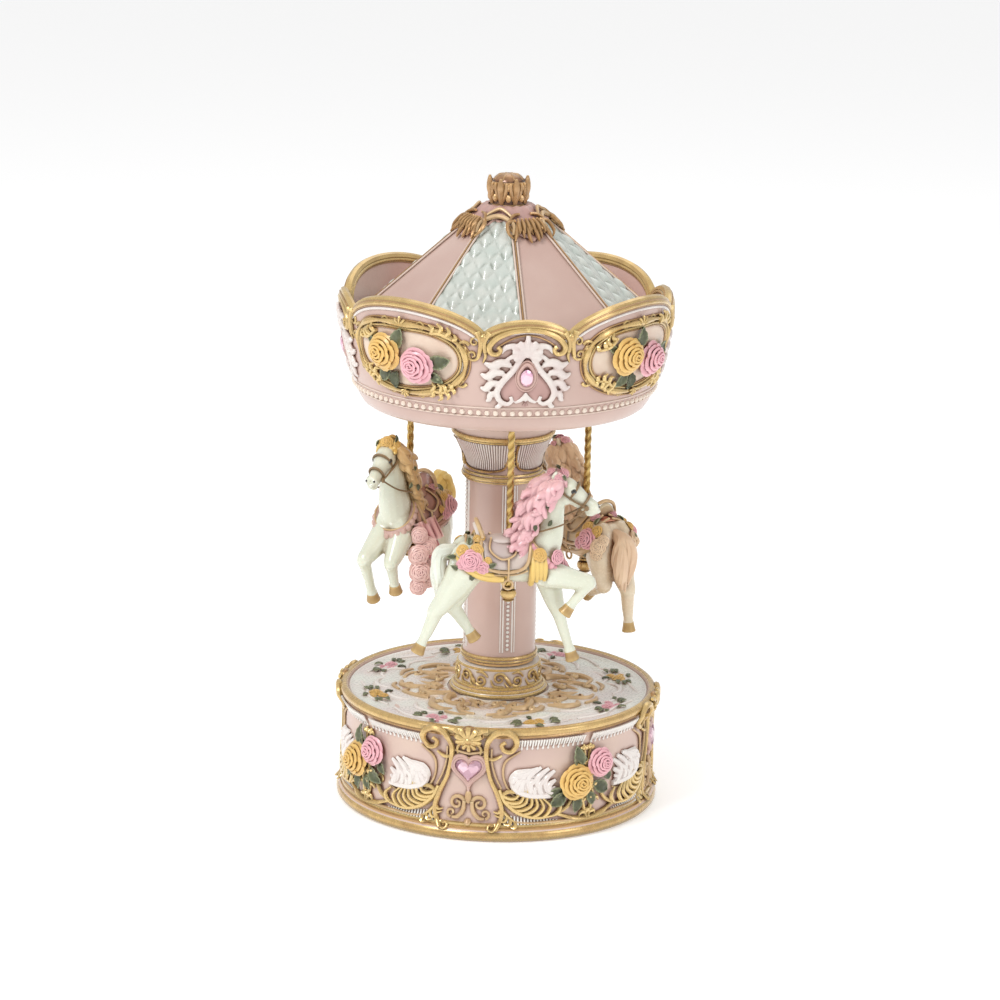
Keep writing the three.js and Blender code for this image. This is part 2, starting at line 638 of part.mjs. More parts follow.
/** The eight-sided roof shell with a ridge on each edge line. */
function canopyRoof() {
  return turned([
    [42.4, EAVES_Z], [44.9, EAVES_Z], [11.2, 172.1], [6, 174.3], [3, 174.3], [3, 171.4], [9.9, 169.2],
  ], 8);
}

/** The draped collar that covers the roof's peak. */
function roofCollar() {
  return turned([
    [3, 174.7], [6.2, 174.7], [10.8, 172.6], [14, 169.7], [14.5, 170.6], [11.2, 174], [7, 176], [3, 176],
  ], 8);
}

/** The crown on the peak, with a stud down into the roof. */
function crownFinial() {
  return turned([
    [0, 171.5], [1.8, 171.5], [1.8, 176.3], [4.7, 176.3], [5.2, 177], [4.6, 178], [5, 179.4], [6.1, 183],
    [5.4, 183.6], [3.4, HEIGHT - 0.6], [0, HEIGHT],
  ], 16);
}

add(canopy, "canopy_tray", canopyTray(), RESIN_PINK);
add(canopy, "rounding_board", roundingBoard(), RESIN_PINK);
add(canopy, "canopy_roof", canopyRoof(), RESIN_PINK);
add(canopy, "roof_collar", roofCollar(), RESIN_PINK);
add(canopy, "crown_finial", crownFinial(), GOLD);
for (let i = 0; i < FOLDS; i++) {
  const place = frameAt(canopy, polar(47, (360 / FOLDS) * i, 135.5), (360 / FOLDS) * i);
  add(place, `oval_gem_${i + 1}`, egg([0, 0, 0], [0.7, 1.8, 2.5], 8, 6).rotateY(rad(9)), GEM);
}

// ---------------------------------------------------------------- horses, poles and bushes

const HORSE_SETTLE = 1.7;

/** One cast horse about its pole: +X is forward, +Y is the side towards the column, the body's middle is z 0. */
function horse({ foreOuter, foreInner, hindOuter, hindInner, tail }) {
  const leg = ([hip, knee, hoof], thick) => [limb(hip, knee, thick, 2, 5), limb(knee, hoof, 1.9, 1.7, 5)];
  const whole = join(
    limb([-11, 0, 1.6], [9.5, 0, 0.8], 6.8, 6.4, 8, true),
    limb([10, 0, 3], [12.4, 0, 20.5], 5.4, 3.8, 6).scale(1, 0.85, 1),
    limb([6.4, 0, 8], [9.6, 0, 23], 2.6, 2.6, 5),
    limb([14.3, 0, 22.8], [24, 0, 16.6], 3.4, 2.2, 6, true).scale(1, 0.85, 1),
    limb([12.6, 0, 24.5], [13.4, 0, 27.2], 2, 1, 5),
    limb([-9.5, 0, 8.4], [2.6, 0, 7], 2.6, 2.4, 5).scale(1, 1.3, 1),
    ...leg(foreOuter, 3),
    ...leg(foreInner, 3),
    ...leg(hindOuter, 4),
    ...leg(hindInner, 4),
    limb(tail[0], tail[1], 1.8, 2.4, 5),
    limb(tail[1], tail[2], 2.4, 1, 5),
  );
  return cut(whole, rod(BORE_R, -14, 16, 8)).translate(0, 0, -HORSE_SETTLE);
}

const POSES = [
  {
    foreOuter: [[11, -2.6, -2], [22.6, -3.4, -4.4], [16.2, -3.4, -13]],
    foreInner: [[10.5, 2.6, -2], [14.6, 3.2, -15], [19, 3.2, -28.4]],
    hindOuter: [[-12.5, -2.4, -1], [-20.4, -3.2, -13], [-25.6, -3.2, -24.4]],
    hindInner: [[-12, 2.4, -1], [-15.4, 3.2, -13], [-9.4, 3.2, -22.5]],
    tail: [[-16.5, 0, 4], [-20, 0, 0], [-19, 0, -9]],
  },
  {
    foreOuter: [[11, -2.6, -2], [20.6, -3.4, -6], [15.4, -3.4, -14]],
    foreInner: [[10.5, 2.6, -2], [20.4, 3.2, -8], [16.6, 3.2, -17]],
    hindOuter: [[-12.5, -2.4, -1], [-16.8, -3.4, -12.6], [-18, -3.6, -24.2]],
    hindInner: [[-12, 2.4, -1], [-14, 3.2, -11], [-6, 3, -15.5]],
    tail: [[-16.5, 0, 4], [-20, 0, -1], [-19.4, 0, -10]],
  },
  {
    foreOuter: [[11, -2.6, -2], [20.6, -4, -8], [14.6, -4, -20.8]],
    foreInner: [[10.5, 2.6, -2], [17, 3, -9], [13.6, 2.8, -17.8]],
    hindOuter: [[-12.5, -2.4, -1], [-18.6, -3.2, -12], [-21, -3.2, -23]],
    hindInner: [[-12, 2.4, -1], [-16.4, 3.2, -13], [-11.4, 3.2, -22]],
    tail: [[-16.5, 0, 5], [-21, 0, 7], [-24, 0, 0]],
  },
];

const BALL_Z = -10.2;
const FOLLOWER_Z = POLE_TOP_Z - 3.2;

/** The gilt ball under the belly that the pole's end is fixed in. */
function poleBall() {
  const ball = new THREE.SphereGeometry(2.35, 10, 6).rotateX(Math.PI / 2).translate(0, 0, BALL_Z);
  return cut(ball, rod(BORE_R, BALL_Z - 0.3, 0, 10));
}

/** The collar on the pole's top, with an arm and a peg towards the lifting rail; it stops short of the rail. */
function poleFollower() {
  const reach = POLE_RING_R - RAIL_R - 0.5;
  const collar = rod(2.6, FOLLOWER_Z, POLE_TOP_Z + 0.8, 10);
  const arm = block([-reach, -1.2, FOLLOWER_Z + 1], [0, 1.2, FOLLOWER_Z + 3]);
  return cut(join(collar, arm), rod(BORE_R, FOLLOWER_Z - 1, POLE_TOP_Z + GAP, 10));
}

/** The brass bush that guides a pole through the canopy's floor. */
function poleBush() {
  const z1 = TRAY_Z + TRAY_THICK + GAP;
  return turned([
    [BORE_R, TRAY_Z - 0.2], [2.2, TRAY_Z - 0.2], [2.2, z1], [3.3, z1], [3.3, z1 + 1], [BORE_R, z1 + 1],
  ], 12);
}

HORSE_ANGLES.forEach((angle, i) => {
  const n = i + 1;
  const outward = frameAt(carousel, polar(POLE_RING_R, angle), angle);
  add(outward, `pole_bush_${n}`, poleBush(), BRASS);
  const rising = frameAt(outward, [0, 0, lift(angle)]);
  add(rising, `pole_${n}`, rod(POLE_R, HORSE_Z + BALL_Z, POLE_TOP_Z, 12), BRASS);
  add(rising, `pole_follower_${n}`, poleFollower(), PLASTIC);
  const facing = frameAt(rising, [0, 0, HORSE_Z], 90);
  add(facing, `horse_${n}`, horse(POSES[i]), RESIN_WHITE);
  add(facing, `pole_ball_${n}`, poleBall(), GOLD);
});

export default root;
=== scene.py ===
"""Looks of a wind-up carousel music box, modelled round its solid parts.

Every class holds one sub-assembly. Sizes are millimetres and angles are degrees, counted from +X towards +Y;
MM turns a length into scene metres. Relief is shaped flat, with x to the right, y up and z outward, and then
laid on the turned surface that carries it.
"""

import logging
import math
from dataclasses import dataclass, field
from enum import Enum
from typing import Callable, Iterable, Sequence

import bmesh
import bpy
from mathutils import Matrix, Vector


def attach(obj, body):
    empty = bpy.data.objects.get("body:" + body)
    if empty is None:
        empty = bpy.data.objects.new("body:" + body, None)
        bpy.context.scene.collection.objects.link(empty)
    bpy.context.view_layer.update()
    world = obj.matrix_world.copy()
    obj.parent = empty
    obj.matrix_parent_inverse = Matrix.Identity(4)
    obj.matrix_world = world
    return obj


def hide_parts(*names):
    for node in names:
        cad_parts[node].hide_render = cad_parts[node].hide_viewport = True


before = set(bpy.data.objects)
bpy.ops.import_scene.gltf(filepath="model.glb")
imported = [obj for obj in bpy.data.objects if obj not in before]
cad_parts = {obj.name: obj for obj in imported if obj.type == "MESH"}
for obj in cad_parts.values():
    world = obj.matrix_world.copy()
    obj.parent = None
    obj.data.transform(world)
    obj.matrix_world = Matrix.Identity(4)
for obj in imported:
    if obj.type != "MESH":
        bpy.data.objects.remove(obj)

LOG = logging.getLogger("music_box")
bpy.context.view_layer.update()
MM = 0.001
FOLDS = 4
HEART_Z = 21.0
HEART_SIDES = 20
CEILING_Z = 118.6
OVAL_Z = 138.4
PEARLS = 116
PANELS = 8
PANEL_ANGLE = 45.0
HALF_PANEL = 22.5
VOLUTE_POINTS = 14
Colour = tuple[float, float, float]
Knot = tuple[float, ...]


# ------------------------------------------------------------------ shaping


def polar(radius: float, degrees: float, height: float = 0.0) -> Vector:
    """The point at a radius, an angle and a height."""
    turn = math.radians(degrees)
    return Vector((radius * math.cos(turn), radius * math.sin(turn), height))


def spun(degrees: float) -> Matrix:
    """A turn about the upright axis."""
    return Matrix.Rotation(math.radians(degrees), 4, "Z")


def facing(way: Sequence[float]) -> Matrix:
    """A turn that points +Z along a direction."""
    return Vector(way).to_track_quat("Z", "Y").to_matrix().to_4x4()


def between(table: Sequence[tuple[float, float]], at: float) -> float:
    """Reads a table of (place, value) rows, in straight lines between the rows.

    Args:
        table: rows in rising order of place.
        at: the place to read.

    Returns:
        The value there, held level past both ends.
    """
    if at <= table[0][0]:
        return table[0][1]
    for (a, low), (b, high) in zip(table, table[1:]):
        if at <= b:
            return low + (high - low) * (at - a) / (b - a)
    return table[-1][1]


def flowing(knots: Sequence[Knot], steps: int = 5) -> list[Knot]:
    """Runs a smooth line through given knots.

    Args:
        knots: (x, y, z, half thickness) points.
        steps: points made for each stretch.

    Returns:
        The points of the line, thickness smoothed along with them.
    """
    ends = [knots[0], *knots, knots[-1]]
    line: list[Knot] = []
    for a, b, c, d in zip(ends, ends[1:], ends[2:], ends[3:]):
        for step in range(steps):
            t = step / steps
            line.append(
                tuple(
                    0.5 * (
                        2 * q + (r - p) * t + (2 * p - 5 * q + 4 * r - s) * t**2
                        + (3 * q - p - 3 * r + s) * t**3
                    ) for p,
                    q, r, s in zip(a, b, c, d)
                )
            )
    return [*line, tuple(knots[-1])]


def volute(
    x: float, y: float, radius: float, start: float, turns: float, thick: float, lift: float
) -> list[Knot]:
    """A spiral that winds in from its rim to its eye.

    Args:
        x: the eye's place across.
        y: the eye's place up.
        radius: distance of the rim from the eye.
        start: direction of the rim's end from the eye, in degrees.
        turns: how far it winds; negative winds clockwise.
        thick: half thickness at the rim.
        lift: how far the eye stands above the rim.

    Returns:
        The spiral's points, rim first.
    """
    count = max(8, int(abs(turns) * VOLUTE_POINTS))
    line = []
    for i in range(count + 1):
        share = i / count
        reach = radius * (1 - 0.8 * share)
        turn = math.radians(start + 360 * turns * share)
        width = thick * (1 - 0.45 * share) + (0.35 * thick if i == count else 0)
        line.append((x + reach * math.cos(turn), y + reach * math.sin(turn), lift * share, width))
    return line


@dataclass(frozen=True)
class Turned:
    """A turned surface that relief is laid on, as rows of (height, radius)."""

    rows: tuple[tuple[float, float], ...]
    reference: float

    def wrap(self, clay: "Clay", turn: float) -> "Clay":
        """Lays flat relief on the surface, with its x = 0 line at an angle.

        Args:
            clay: relief with x across, y as height and z outward.
            turn: the angle of the relief's middle.

        Returns:
            The same clay, in the frame of the object.
        """
        for vert in clay.bm.verts:
            across, height, out = vert.co
            radius = between(self.rows, height) + out
            vert.co = polar(radius, turn + math.degrees(across / self.reference), height)
        return clay


class Clay:
    """Mesh that is being shaped, in millimetres."""

    def __init__(self) -> None:
        """Starts with nothing."""
        self.bm = bmesh.new()

    def add(self, other: "Clay", matrix: Matrix = Matrix.Identity(4)) -> "Clay":
        """Adds a copy of other clay, moved by a matrix.

        Args:
            other: the clay to copy.
            matrix: where the copy goes.

        Returns:
            This clay.
        """
        mesh = bpy.data.meshes.new("lump")
        other.bm.to_mesh(mesh)
        mesh.transform(matrix)
        self.bm.from_mesh(mesh)
        bpy.data.meshes.remove(mesh)
        return self

    def move(self, matrix: Matrix) -> "Clay":
        """Moves all of the clay by a matrix."""
        bmesh.ops.transform(self.bm, matrix=matrix, verts=self.bm.verts)
        return self

    def lathe(self, rows: Sequence[tuple[float, float]], steps: int, closed: bool = False) -> "Clay":
        """Spins a profile of (radius, height) rows round the upright axis.

        Args:
            rows: the profile, from its start to its end.
            steps: facets in a full turn.
            closed: joins the last row to the first, for a ring.

        Returns:
            This clay.
        """
        verts = [self.bm.verts.new((r, 0, z)) for r, z in rows]
        pairs = list(zip(verts, verts[1:])) + ([(verts[-1], verts[0])] if closed else [])
        edges = [self.bm.edges.new(pair) for pair in pairs]
        bmesh.ops.spin(
            self.bm, geom=verts + edges, cent=(0, 0, 0), axis=(0, 0, 1), dvec=(0, 0, 0),
            angle=math.tau, steps=steps, use_merge=True, use_duplicate=False,
        )
        bmesh.ops.remove_doubles(self.bm, verts=self.bm.verts, dist=1e-4)
        return self

    def ball(self, centre: Sequence[float], radii: Sequence[float], fine: int = 12) -> "Clay":
        """Adds an egg shape.

        Args:
            centre: its middle.
            radii: its three half-sizes.
            fine: facets round it.

        Returns:
            This clay.
        """
        matrix = Matrix.Translation(centre) @ Matrix.Diagonal((*radii, 1))
        bmesh.ops.create_uvsphere(
            self.bm, u_segments=fine, v_segments=max(4, fine * 2 // 3), radius=1, matrix=matrix
        )
        return self

    def sheet(
        self, across: int, along: int, place: Callable[[float, float], Sequence[float]], thick: float
    ) -> "Clay":
        """Adds a sheet that a formula places, with real thickness.

        Args:
            across: cells across.
            along: cells along.
            place: the point for (u, v), both from -1 to 1.
            thick: thickness of the sheet.

        Returns:
            This clay.
        """
        made = bmesh.new()
        bmesh.ops.create_grid(made, x_segments=across, y_segments=along, size=1)
        for vert in made.verts:
            vert.co = place(vert.co.x, vert.co.y)
        bmesh.ops.remove_doubles(made, verts=made.verts, dist=1e-3)
        bmesh.ops.solidify(made, geom=made.faces[:], thickness=thick)
        lump = Clay()
        lump.bm = made
        return self.add(lump)

    def strands(self, lines: Iterable[Sequence[Knot]], sides: int = 2, ring: bool = False) -> "Clay":
        """Adds round strands along lines, each point with its own half thickness.

        Args:
            lines: (x, y, z, half thickness) points of each strand.
            sides: smoothness round the strand; each step adds two sides to four.
            ring: joins each strand's end to its start.

        Returns:
            This clay.
        """
        curve = bpy.data.curves.new("strands", "CURVE")
        curve.dimensions = "3D"
        curve.bevel_depth = 1.0
        curve.bevel_resolution = sides
        curve.use_fill_caps = True
        for line in lines:
            spline = curve.splines.new("POLY")
            spline.points.add(len(line) - 1)
            spline.use_cyclic_u = ring
            for point, (x, y, z, width) in zip(spline.points, line):
                point.co = (x, y, z, 1)
                point.radius = width
        holder = bpy.data.objects.new("strands", curve)
        mesh = bpy.data.meshes.new_from_object(holder)
        self.bm.from_mesh(mesh)
        bpy.data.objects.remove(holder)
        bpy.data.curves.remove(curve)
        bpy.data.meshes.remove(mesh)
        return self

    def level_ring(self, radius: float, z: float, thick: float, count: int = 120) -> "Clay":
        """Adds a level ring of round wire about the upright axis."""
        return self.strands([[(*polar(radius, 360 / count * i, z), thick) for i in range(count)]], ring=True)

    def capped(self) -> "Clay":
        """Closes every open end."""
        bmesh.ops.holes_fill(self.bm, edges=[edge for edge in self.bm.edges if edge.is_boundary])
        return self

    def flatten(self, share: float) -> "Clay":
        """Presses relief towards its ground."""
        return self.move(Matrix.Diagonal((1, 1, share, 1)))

    def around(self, count: int = FOLDS) -> "Clay":
        """Repeats the clay round the upright axis, as new clay with all the copies."""
        whole = Clay()
        for i in range(count):
            whole.add(self, spun(360 / count * i))
        return whole

    def merged(self, voxel: float, smooth: int) -> "Clay":
        """Blends overlapping lumps into one skin, as a modeller's thumb would.

        Args:
            voxel: grain of the new skin.
            smooth: passes of smoothing.

        Returns:
            This clay, as one closed skin.
        """
        mesh = bpy.data.meshes.new("blend")
        bmesh.ops.recalc_face_normals(self.bm, faces=self.bm.faces[:])
        self.bm.to_mesh(mesh)
        holder = bpy.data.objects.new("blend", mesh)
        bpy.context.scene.collection.objects.link(holder)
        remesh = holder.modifiers.new("skin", "REMESH")
        remesh.mode = "VOXEL"
        remesh.voxel_size = voxel
        soften = holder.modifiers.new("soft", "SMOOTH")
        soften.factor = 0.5
        soften.iterations = smooth
        bpy.context.view_layer.update()
        made = bpy.data.meshes.new_from_object(holder.evaluated_get(bpy.context.evaluated_depsgraph_get()))
        self.bm.clear()
        self.bm.from_mesh(made)
        bpy.data.objects.remove(holder)
        bpy.data.meshes.remove(mesh)
        bpy.data.meshes.remove(made)
        return self

    def fire(
        self, name: str, body: str, paint: "Paint", stands_for: Sequence[str] = (), crease: float = 38.0
    ) -> bpy.types.Object:
        """Makes the clay a finished piece that rides on a body.

        Args:
            name: the piece's name.
            body: the body it moves with.
            paint: its finish.
            stands_for: solid parts that it replaces.
            crease: edges sharper than this stay crisp.

        Returns:
            The piece.
        """
        bmesh.ops.recalc_face_normals(self.bm, faces=self.bm.faces[:])
        bmesh.ops.scale(self.bm, vec=(MM, MM, MM), verts=self.bm.verts)
        mesh = bpy.data.meshes.new(name)
        self.bm.to_mesh(mesh)
        self.bm.free()
        mesh.shade_smooth()
        mesh.set_sharp_from_angle(angle=math.radians(crease))
        mesh.materials.append(paint.value.material())
        piece = bpy.data.objects.new(name, mesh)
        bpy.context.scene.collection.objects.link(piece)
        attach(piece, body)
        if stands_for:
            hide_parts(*stands_for)
        LOG.info("%s: %d faces on %s", name, len(mesh.polygons), body)
        return piece


# ------------------------------------------------------------------ finishes


# Slope and offset of each shader curve, as (times, plus).
WASH_AND_SHADE_UNEVEN = (0.9, 0.55)
EDGE_WEAR_AND_HIGHLIGHT = (9.0, -4.6)
CLOUD_CONTRAST = (3.2, -1.1)
GLOSS_SWING = (0.22, -0.11)
STAIN_PATCH = (7.0, -3.0)


def shader_group(name: str, inputs: dict[str, float], outputs: Sequence[str]) -> bpy.types.NodeTree:
    """Starts a shared shader group with number sockets.

    Args:
        name: the group's name.
        inputs: socket names and their defaults.
        outputs: names of the number outputs.

    Returns:
        The empty group, with its input and output nodes.
    """
    group = bpy.data.node_groups.new(name, "ShaderNodeTree")
    for socket, value in inputs.items():
        made = group.interface.new_socket(name=socket, in_out="INPUT", socket_type="NodeSocketFloat")
        made.default_value = value
    for socket in outputs:
        group.interface.new_socket(name=socket, in_out="OUTPUT", socket_type="NodeSocketFloat")
    group.nodes.new("NodeGroupInput").name = "in"
    group.nodes.new("NodeGroupOutput").name = "out"
    return group


def maths(tree: bpy.types.NodeTree, kind: str, *values: object, clamp: bool = False) -> bpy.types.NodeSocket:
    """Adds a maths node and links or sets its inputs.

    Args:
        tree: the tree that gets the node.
        kind: the operation.
        values: sockets or plain numbers.
        clamp: keeps the result from 0 to 1.

    Returns:
        The result's socket.
    """
    node = tree.nodes.new("ShaderNodeMath")
    node.operation = kind
    node.use_clamp = clamp
    for socket, value in zip(node.inputs, values):
        if isinstance(value, (int, float)):
            socket.default_value = value
        else:
            tree.links.new(value, socket)
    return node.outputs[0]


def mixed(tree: bpy.types.NodeTree, share: object, low: object, high: object) -> bpy.types.NodeSocket:
    """Adds a colour mix.

    Args:
        tree: the tree that gets the node.
        share: socket with the share of the second colour.
        low: first colour or socket.
        high: second colour or socket.

    Returns:
        The mixed colour's socket.
    """
    node = tree.nodes.new("ShaderNodeMix")
    node.data_type = "RGBA"
    tree.links.new(share, node.inputs["Factor"])
    for index, value in ((6, low), (7, high)):
        if isinstance(value, tuple):
            node.inputs[index].default_value = (*value, 1)
        else:
            tree.links.new(value, node.inputs[index])
    return node.outputs[2]


def wash_and_shade_group() -> bpy.types.NodeTree:
    """The shared recess and edge colours: antique paint that was wiped off the high spots and stayed in the
    recesses, deepened by painted shade where the occlusion finds them, and raised edges lightened as worn
    paint and painted highlights.
    """
    known = bpy.data.node_groups.get("antique wash")
    if known:
        return known
    group = shader_group(
        "antique wash", {"Reach": 0.001, "Strength": 1.0, "Speckle": 900.0}, ["Recess", "Raised"]
    )
    given, out = group.nodes["in"], group.nodes["out"]
    # Occlusion darkens the recesses: painted shade, laid over the real antique paint left in them.
    shade = group.nodes.new("ShaderNodeAmbientOcclusion")
    shade.samples = 6
    group.links.new(given.outputs["Reach"], shade.inputs["Distance"])
    closed = maths(group, "SUBTRACT", 1.0, shade.outputs["AO"])
    coords = group.nodes.new("ShaderNodeTexCoord")
    noise = group.nodes.new("ShaderNodeTexNoise")
    noise.inputs["Detail"].default_value = 4
    group.links.new(coords.outputs["Object"], noise.inputs["Vector"])
    group.links.new(given.outputs["Speckle"], noise.inputs["Scale"])
    uneven = maths(group, "MULTIPLY_ADD", noise.outputs["Fac"], *WASH_AND_SHADE_UNEVEN)
    deep = maths(
        group, "MULTIPLY", maths(group, "MULTIPLY", closed, given.outputs["Strength"]), uneven, clamp=True
    )
    group.links.new(deep, out.inputs["Recess"])
    geometry = group.nodes.new("ShaderNodeNewGeometry")
    # Pointiness lightens sharp edges: real worn paint and painted highlights.
    edge = maths(group, "MULTIPLY_ADD", geometry.outputs["Pointiness"], *EDGE_WEAR_AND_HIGHLIGHT, clamp=True)
    group.links.new(edge, out.inputs["Raised"])
    return group


def cast_group() -> bpy.types.NodeTree:
    """The shared cast-resin surface: cloudy tone, fine grain for the bump and an uneven gloss."""
    known = bpy.data.node_groups.get("cast surface")
    if known:
        return known
    group = shader_group(
        "cast surface", {"Cloud": 90.0, "Grain": 1500.0, "Gloss": 0.4}, ["Tone", "Height", "Roughness"]
    )
    given, out = group.nodes["in"], group.nodes["out"]
    coords = group.nodes.new("ShaderNodeTexCoord")
    cloud = group.nodes.new("ShaderNodeTexNoise")
    cloud.inputs["Detail"].default_value = 3
    grain = group.nodes.new("ShaderNodeTexNoise")
    grain.inputs["Detail"].default_value = 5
    for noise, scale in ((cloud, "Cloud"), (grain, "Grain")):
        group.links.new(coords.outputs["Object"], noise.inputs["Vector"])
        group.links.new(given.outputs[scale], noise.inputs["Scale"])
    tone = maths(group, "MULTIPLY_ADD", cloud.outputs["Fac"], *CLOUD_CONTRAST, clamp=True)
    group.links.new(tone, out.inputs["Tone"])
    group.links.new(grain.outputs["Fac"], out.inputs["Height"])
    swing = maths(group, "MULTIPLY_ADD", grain.outputs["Fac"], *GLOSS_SWING)
    group.links.new(maths(group, "ADD", swing, given.outputs["Gloss"], clamp=True), out.inputs["Roughness"])
    return group


def linear(colour: Colour) -> Colour:
    """The shader's value for a paint chip's colour."""
    return tuple(c / 12.92 if c <= 0.04045 else ((c + 0.055) / 1.055) ** 2.4 for c in colour)


@dataclass(frozen=True)
class Finish:
    """One painted or metal surface: a cloudy ground, antique paint in the recesses deepened by painted shade,
    and worn raised edges lightened with painted highlights.

    Reach and bump are millimetres; the stain fades in between two distances from the upright axis.
    """

    name: str
    ground: Colour
    cloudy: Colour
    # Recess colour: real antique paint and painted shade; edge colour: real worn paint and painted
    # highlights.
    wash_and_shade: Colour
    wear_and_highlight: Colour | None = None
    reach: float = 1.0
    strength: float = 1.6
    gloss: float = 0.38
    metal: float = 0.0
    coat: float = 0.15
    cloud: float = 110.0
    grain: float = 1500.0
    bump: float = 0.04
    soft: float = 0.0
    stain: Colour | None = None
    stain_from: float = 0.0
    stain_full: float = 0.0
    coat_blur: float = 0.12
    bump_share: float = 0.5
    stain_share: float = 0.85

    def material(self) -> bpy.types.Material:
        """Builds the material once, and returns it."""
        known = bpy.data.materials.get(self.name)
        if known:
            return known
        made = bpy.data.materials.new(self.name)
        made.use_nodes = True
        tree = made.node_tree
        skin = tree.nodes["Principled BSDF"]
        cast = tree.nodes.new("ShaderNodeGroup")
        cast.node_tree = cast_group()
        cast.inputs["Cloud"].default_value = self.cloud
        cast.inputs["Grain"].default_value = self.grain
        cast.inputs["Gloss"].default_value = self.gloss
        wash_and_shade = tree.nodes.new("ShaderNodeGroup")
        wash_and_shade.node_tree = wash_and_shade_group()
        wash_and_shade.inputs["Reach"].default_value = self.reach * MM
        wash_and_shade.inputs["Strength"].default_value = self.strength
        colour = mixed(tree, cast.outputs["Tone"], linear(self.ground), linear(self.cloudy))
        if self.stain:
            colour = mixed(tree, self.stained(tree), colour, linear(self.stain))
        # Painted shade in the recesses and painted highlights on the raised edges, mixed with the real
        # antique paint and worn edges.
        colour = mixed(tree, wash_and_shade.outputs["Recess"], colour, linear(self.wash_and_shade))
        if self.wear_and_highlight:
            colour = mixed(tree, wash_and_shade.outputs["Raised"], colour, linear(self.wear_and_highlight))
        tree.links.new(colour, skin.inputs["Base Color"])
        tree.links.new(cast.outputs["Roughness"], skin.inputs["Roughness"])
        bump = tree.nodes.new("ShaderNodeBump")
        bump.inputs["Strength"].default_value = self.bump_share
        bump.inputs["Distance"].default_value = self.bump * MM
        tree.links.new(cast.outputs["Height"], bump.inputs["Height"])
        tree.links.new(bump.outputs["Normal"], skin.inputs["Normal"])
        skin.inputs["Metallic"].default_value = self.metal
        skin.inputs["Coat Weight"].default_value = self.coat
        skin.inputs["Coat Roughness"].default_value = self.coat_blur
        if self.soft:
            skin.inputs["Subsurface Weight"].default_value = self.soft
            skin.inputs["Subsurface Radius"].default_value = (0.002, 0.0015, 0.0012)
            skin.inputs["Subsurface Scale"].default_value = 0.6
        return made

    def stained(self, tree: bpy.types.NodeTree) -> bpy.types.NodeSocket:
        """Where a patchy stain shows, by distance from the upright axis.

        Args:
            tree: the material's tree.

        Returns:
            The stain's share.
        """
        coords = tree.nodes.new("ShaderNodeTexCoord")
        flat = tree.nodes.new("ShaderNodeVectorMath")
        flat.operation = "MULTIPLY"
        flat.inputs[1].default_value = (1, 1, 0)
        tree.links.new(coords.outputs["Object"], flat.inputs[0])
        reach = tree.nodes.new("ShaderNodeVectorMath")
        reach.operation = "LENGTH"
        tree.links.new(flat.outputs["Vector"], reach.inputs[0])
        blotch = tree.nodes.new("ShaderNodeTexNoise")
        blotch.inputs["Scale"].default_value = 260
        blotch.inputs["Detail"].default_value = 3
        blotch.inputs["Distortion"].default_value = 1.2
        tree.links.new(coords.outputs["Object"], blotch.inputs["Vector"])
        fade = 1 / ((self.stain_full - self.stain_from) * MM)
        near = maths(
            tree, "MULTIPLY_ADD", reach.outputs["Value"], fade, -self.stain_from * MM * fade, clamp=True
        )
        patch = maths(tree, "MULTIPLY_ADD", blotch.outputs["Fac"], *STAIN_PATCH, clamp=True)
        return maths(tree, "MULTIPLY", maths(tree, "MULTIPLY", near, patch), self.stain_share)


@dataclass(frozen=True)
class Stone:
    """A clear cut stone with a foil back, its facets painted pale or dark in random cells as painted glints
    and shade.
    """

    name: str
    pale: Colour
    deep: Colour

    def material(self) -> bpy.types.Material:
        """Builds the material once, and returns it."""
        known = bpy.data.materials.get(self.name)
        if known:
            return known
        made = bpy.data.materials.new(self.name)
        made.use_nodes = True
        tree = made.node_tree
        skin = tree.nodes["Principled BSDF"]
        coords = tree.nodes.new("ShaderNodeTexCoord")
        # Random cells of pale and dark colour: painted glints and shade on the facets.
        cells = tree.nodes.new("ShaderNodeTexVoronoi")
        cells.inputs["Scale"].default_value = 420
        tree.links.new(coords.outputs["Object"], cells.inputs["Vector"])
        split = tree.nodes.new("ShaderNodeSeparateColor")
        tree.links.new(cells.outputs["Color"], split.inputs["Color"])
        tree.links.new(
            mixed(tree, split.outputs["Red"], linear(self.pale), linear(self.deep)), skin.inputs["Base Color"]
        )
        skin.inputs["Roughness"].default_value = 0.04
        skin.inputs["Metallic"].default_value = 0.35
        skin.inputs["Coat Weight"].default_value = 1.0
        skin.inputs["Coat Roughness"].default_value = 0.02
        return made


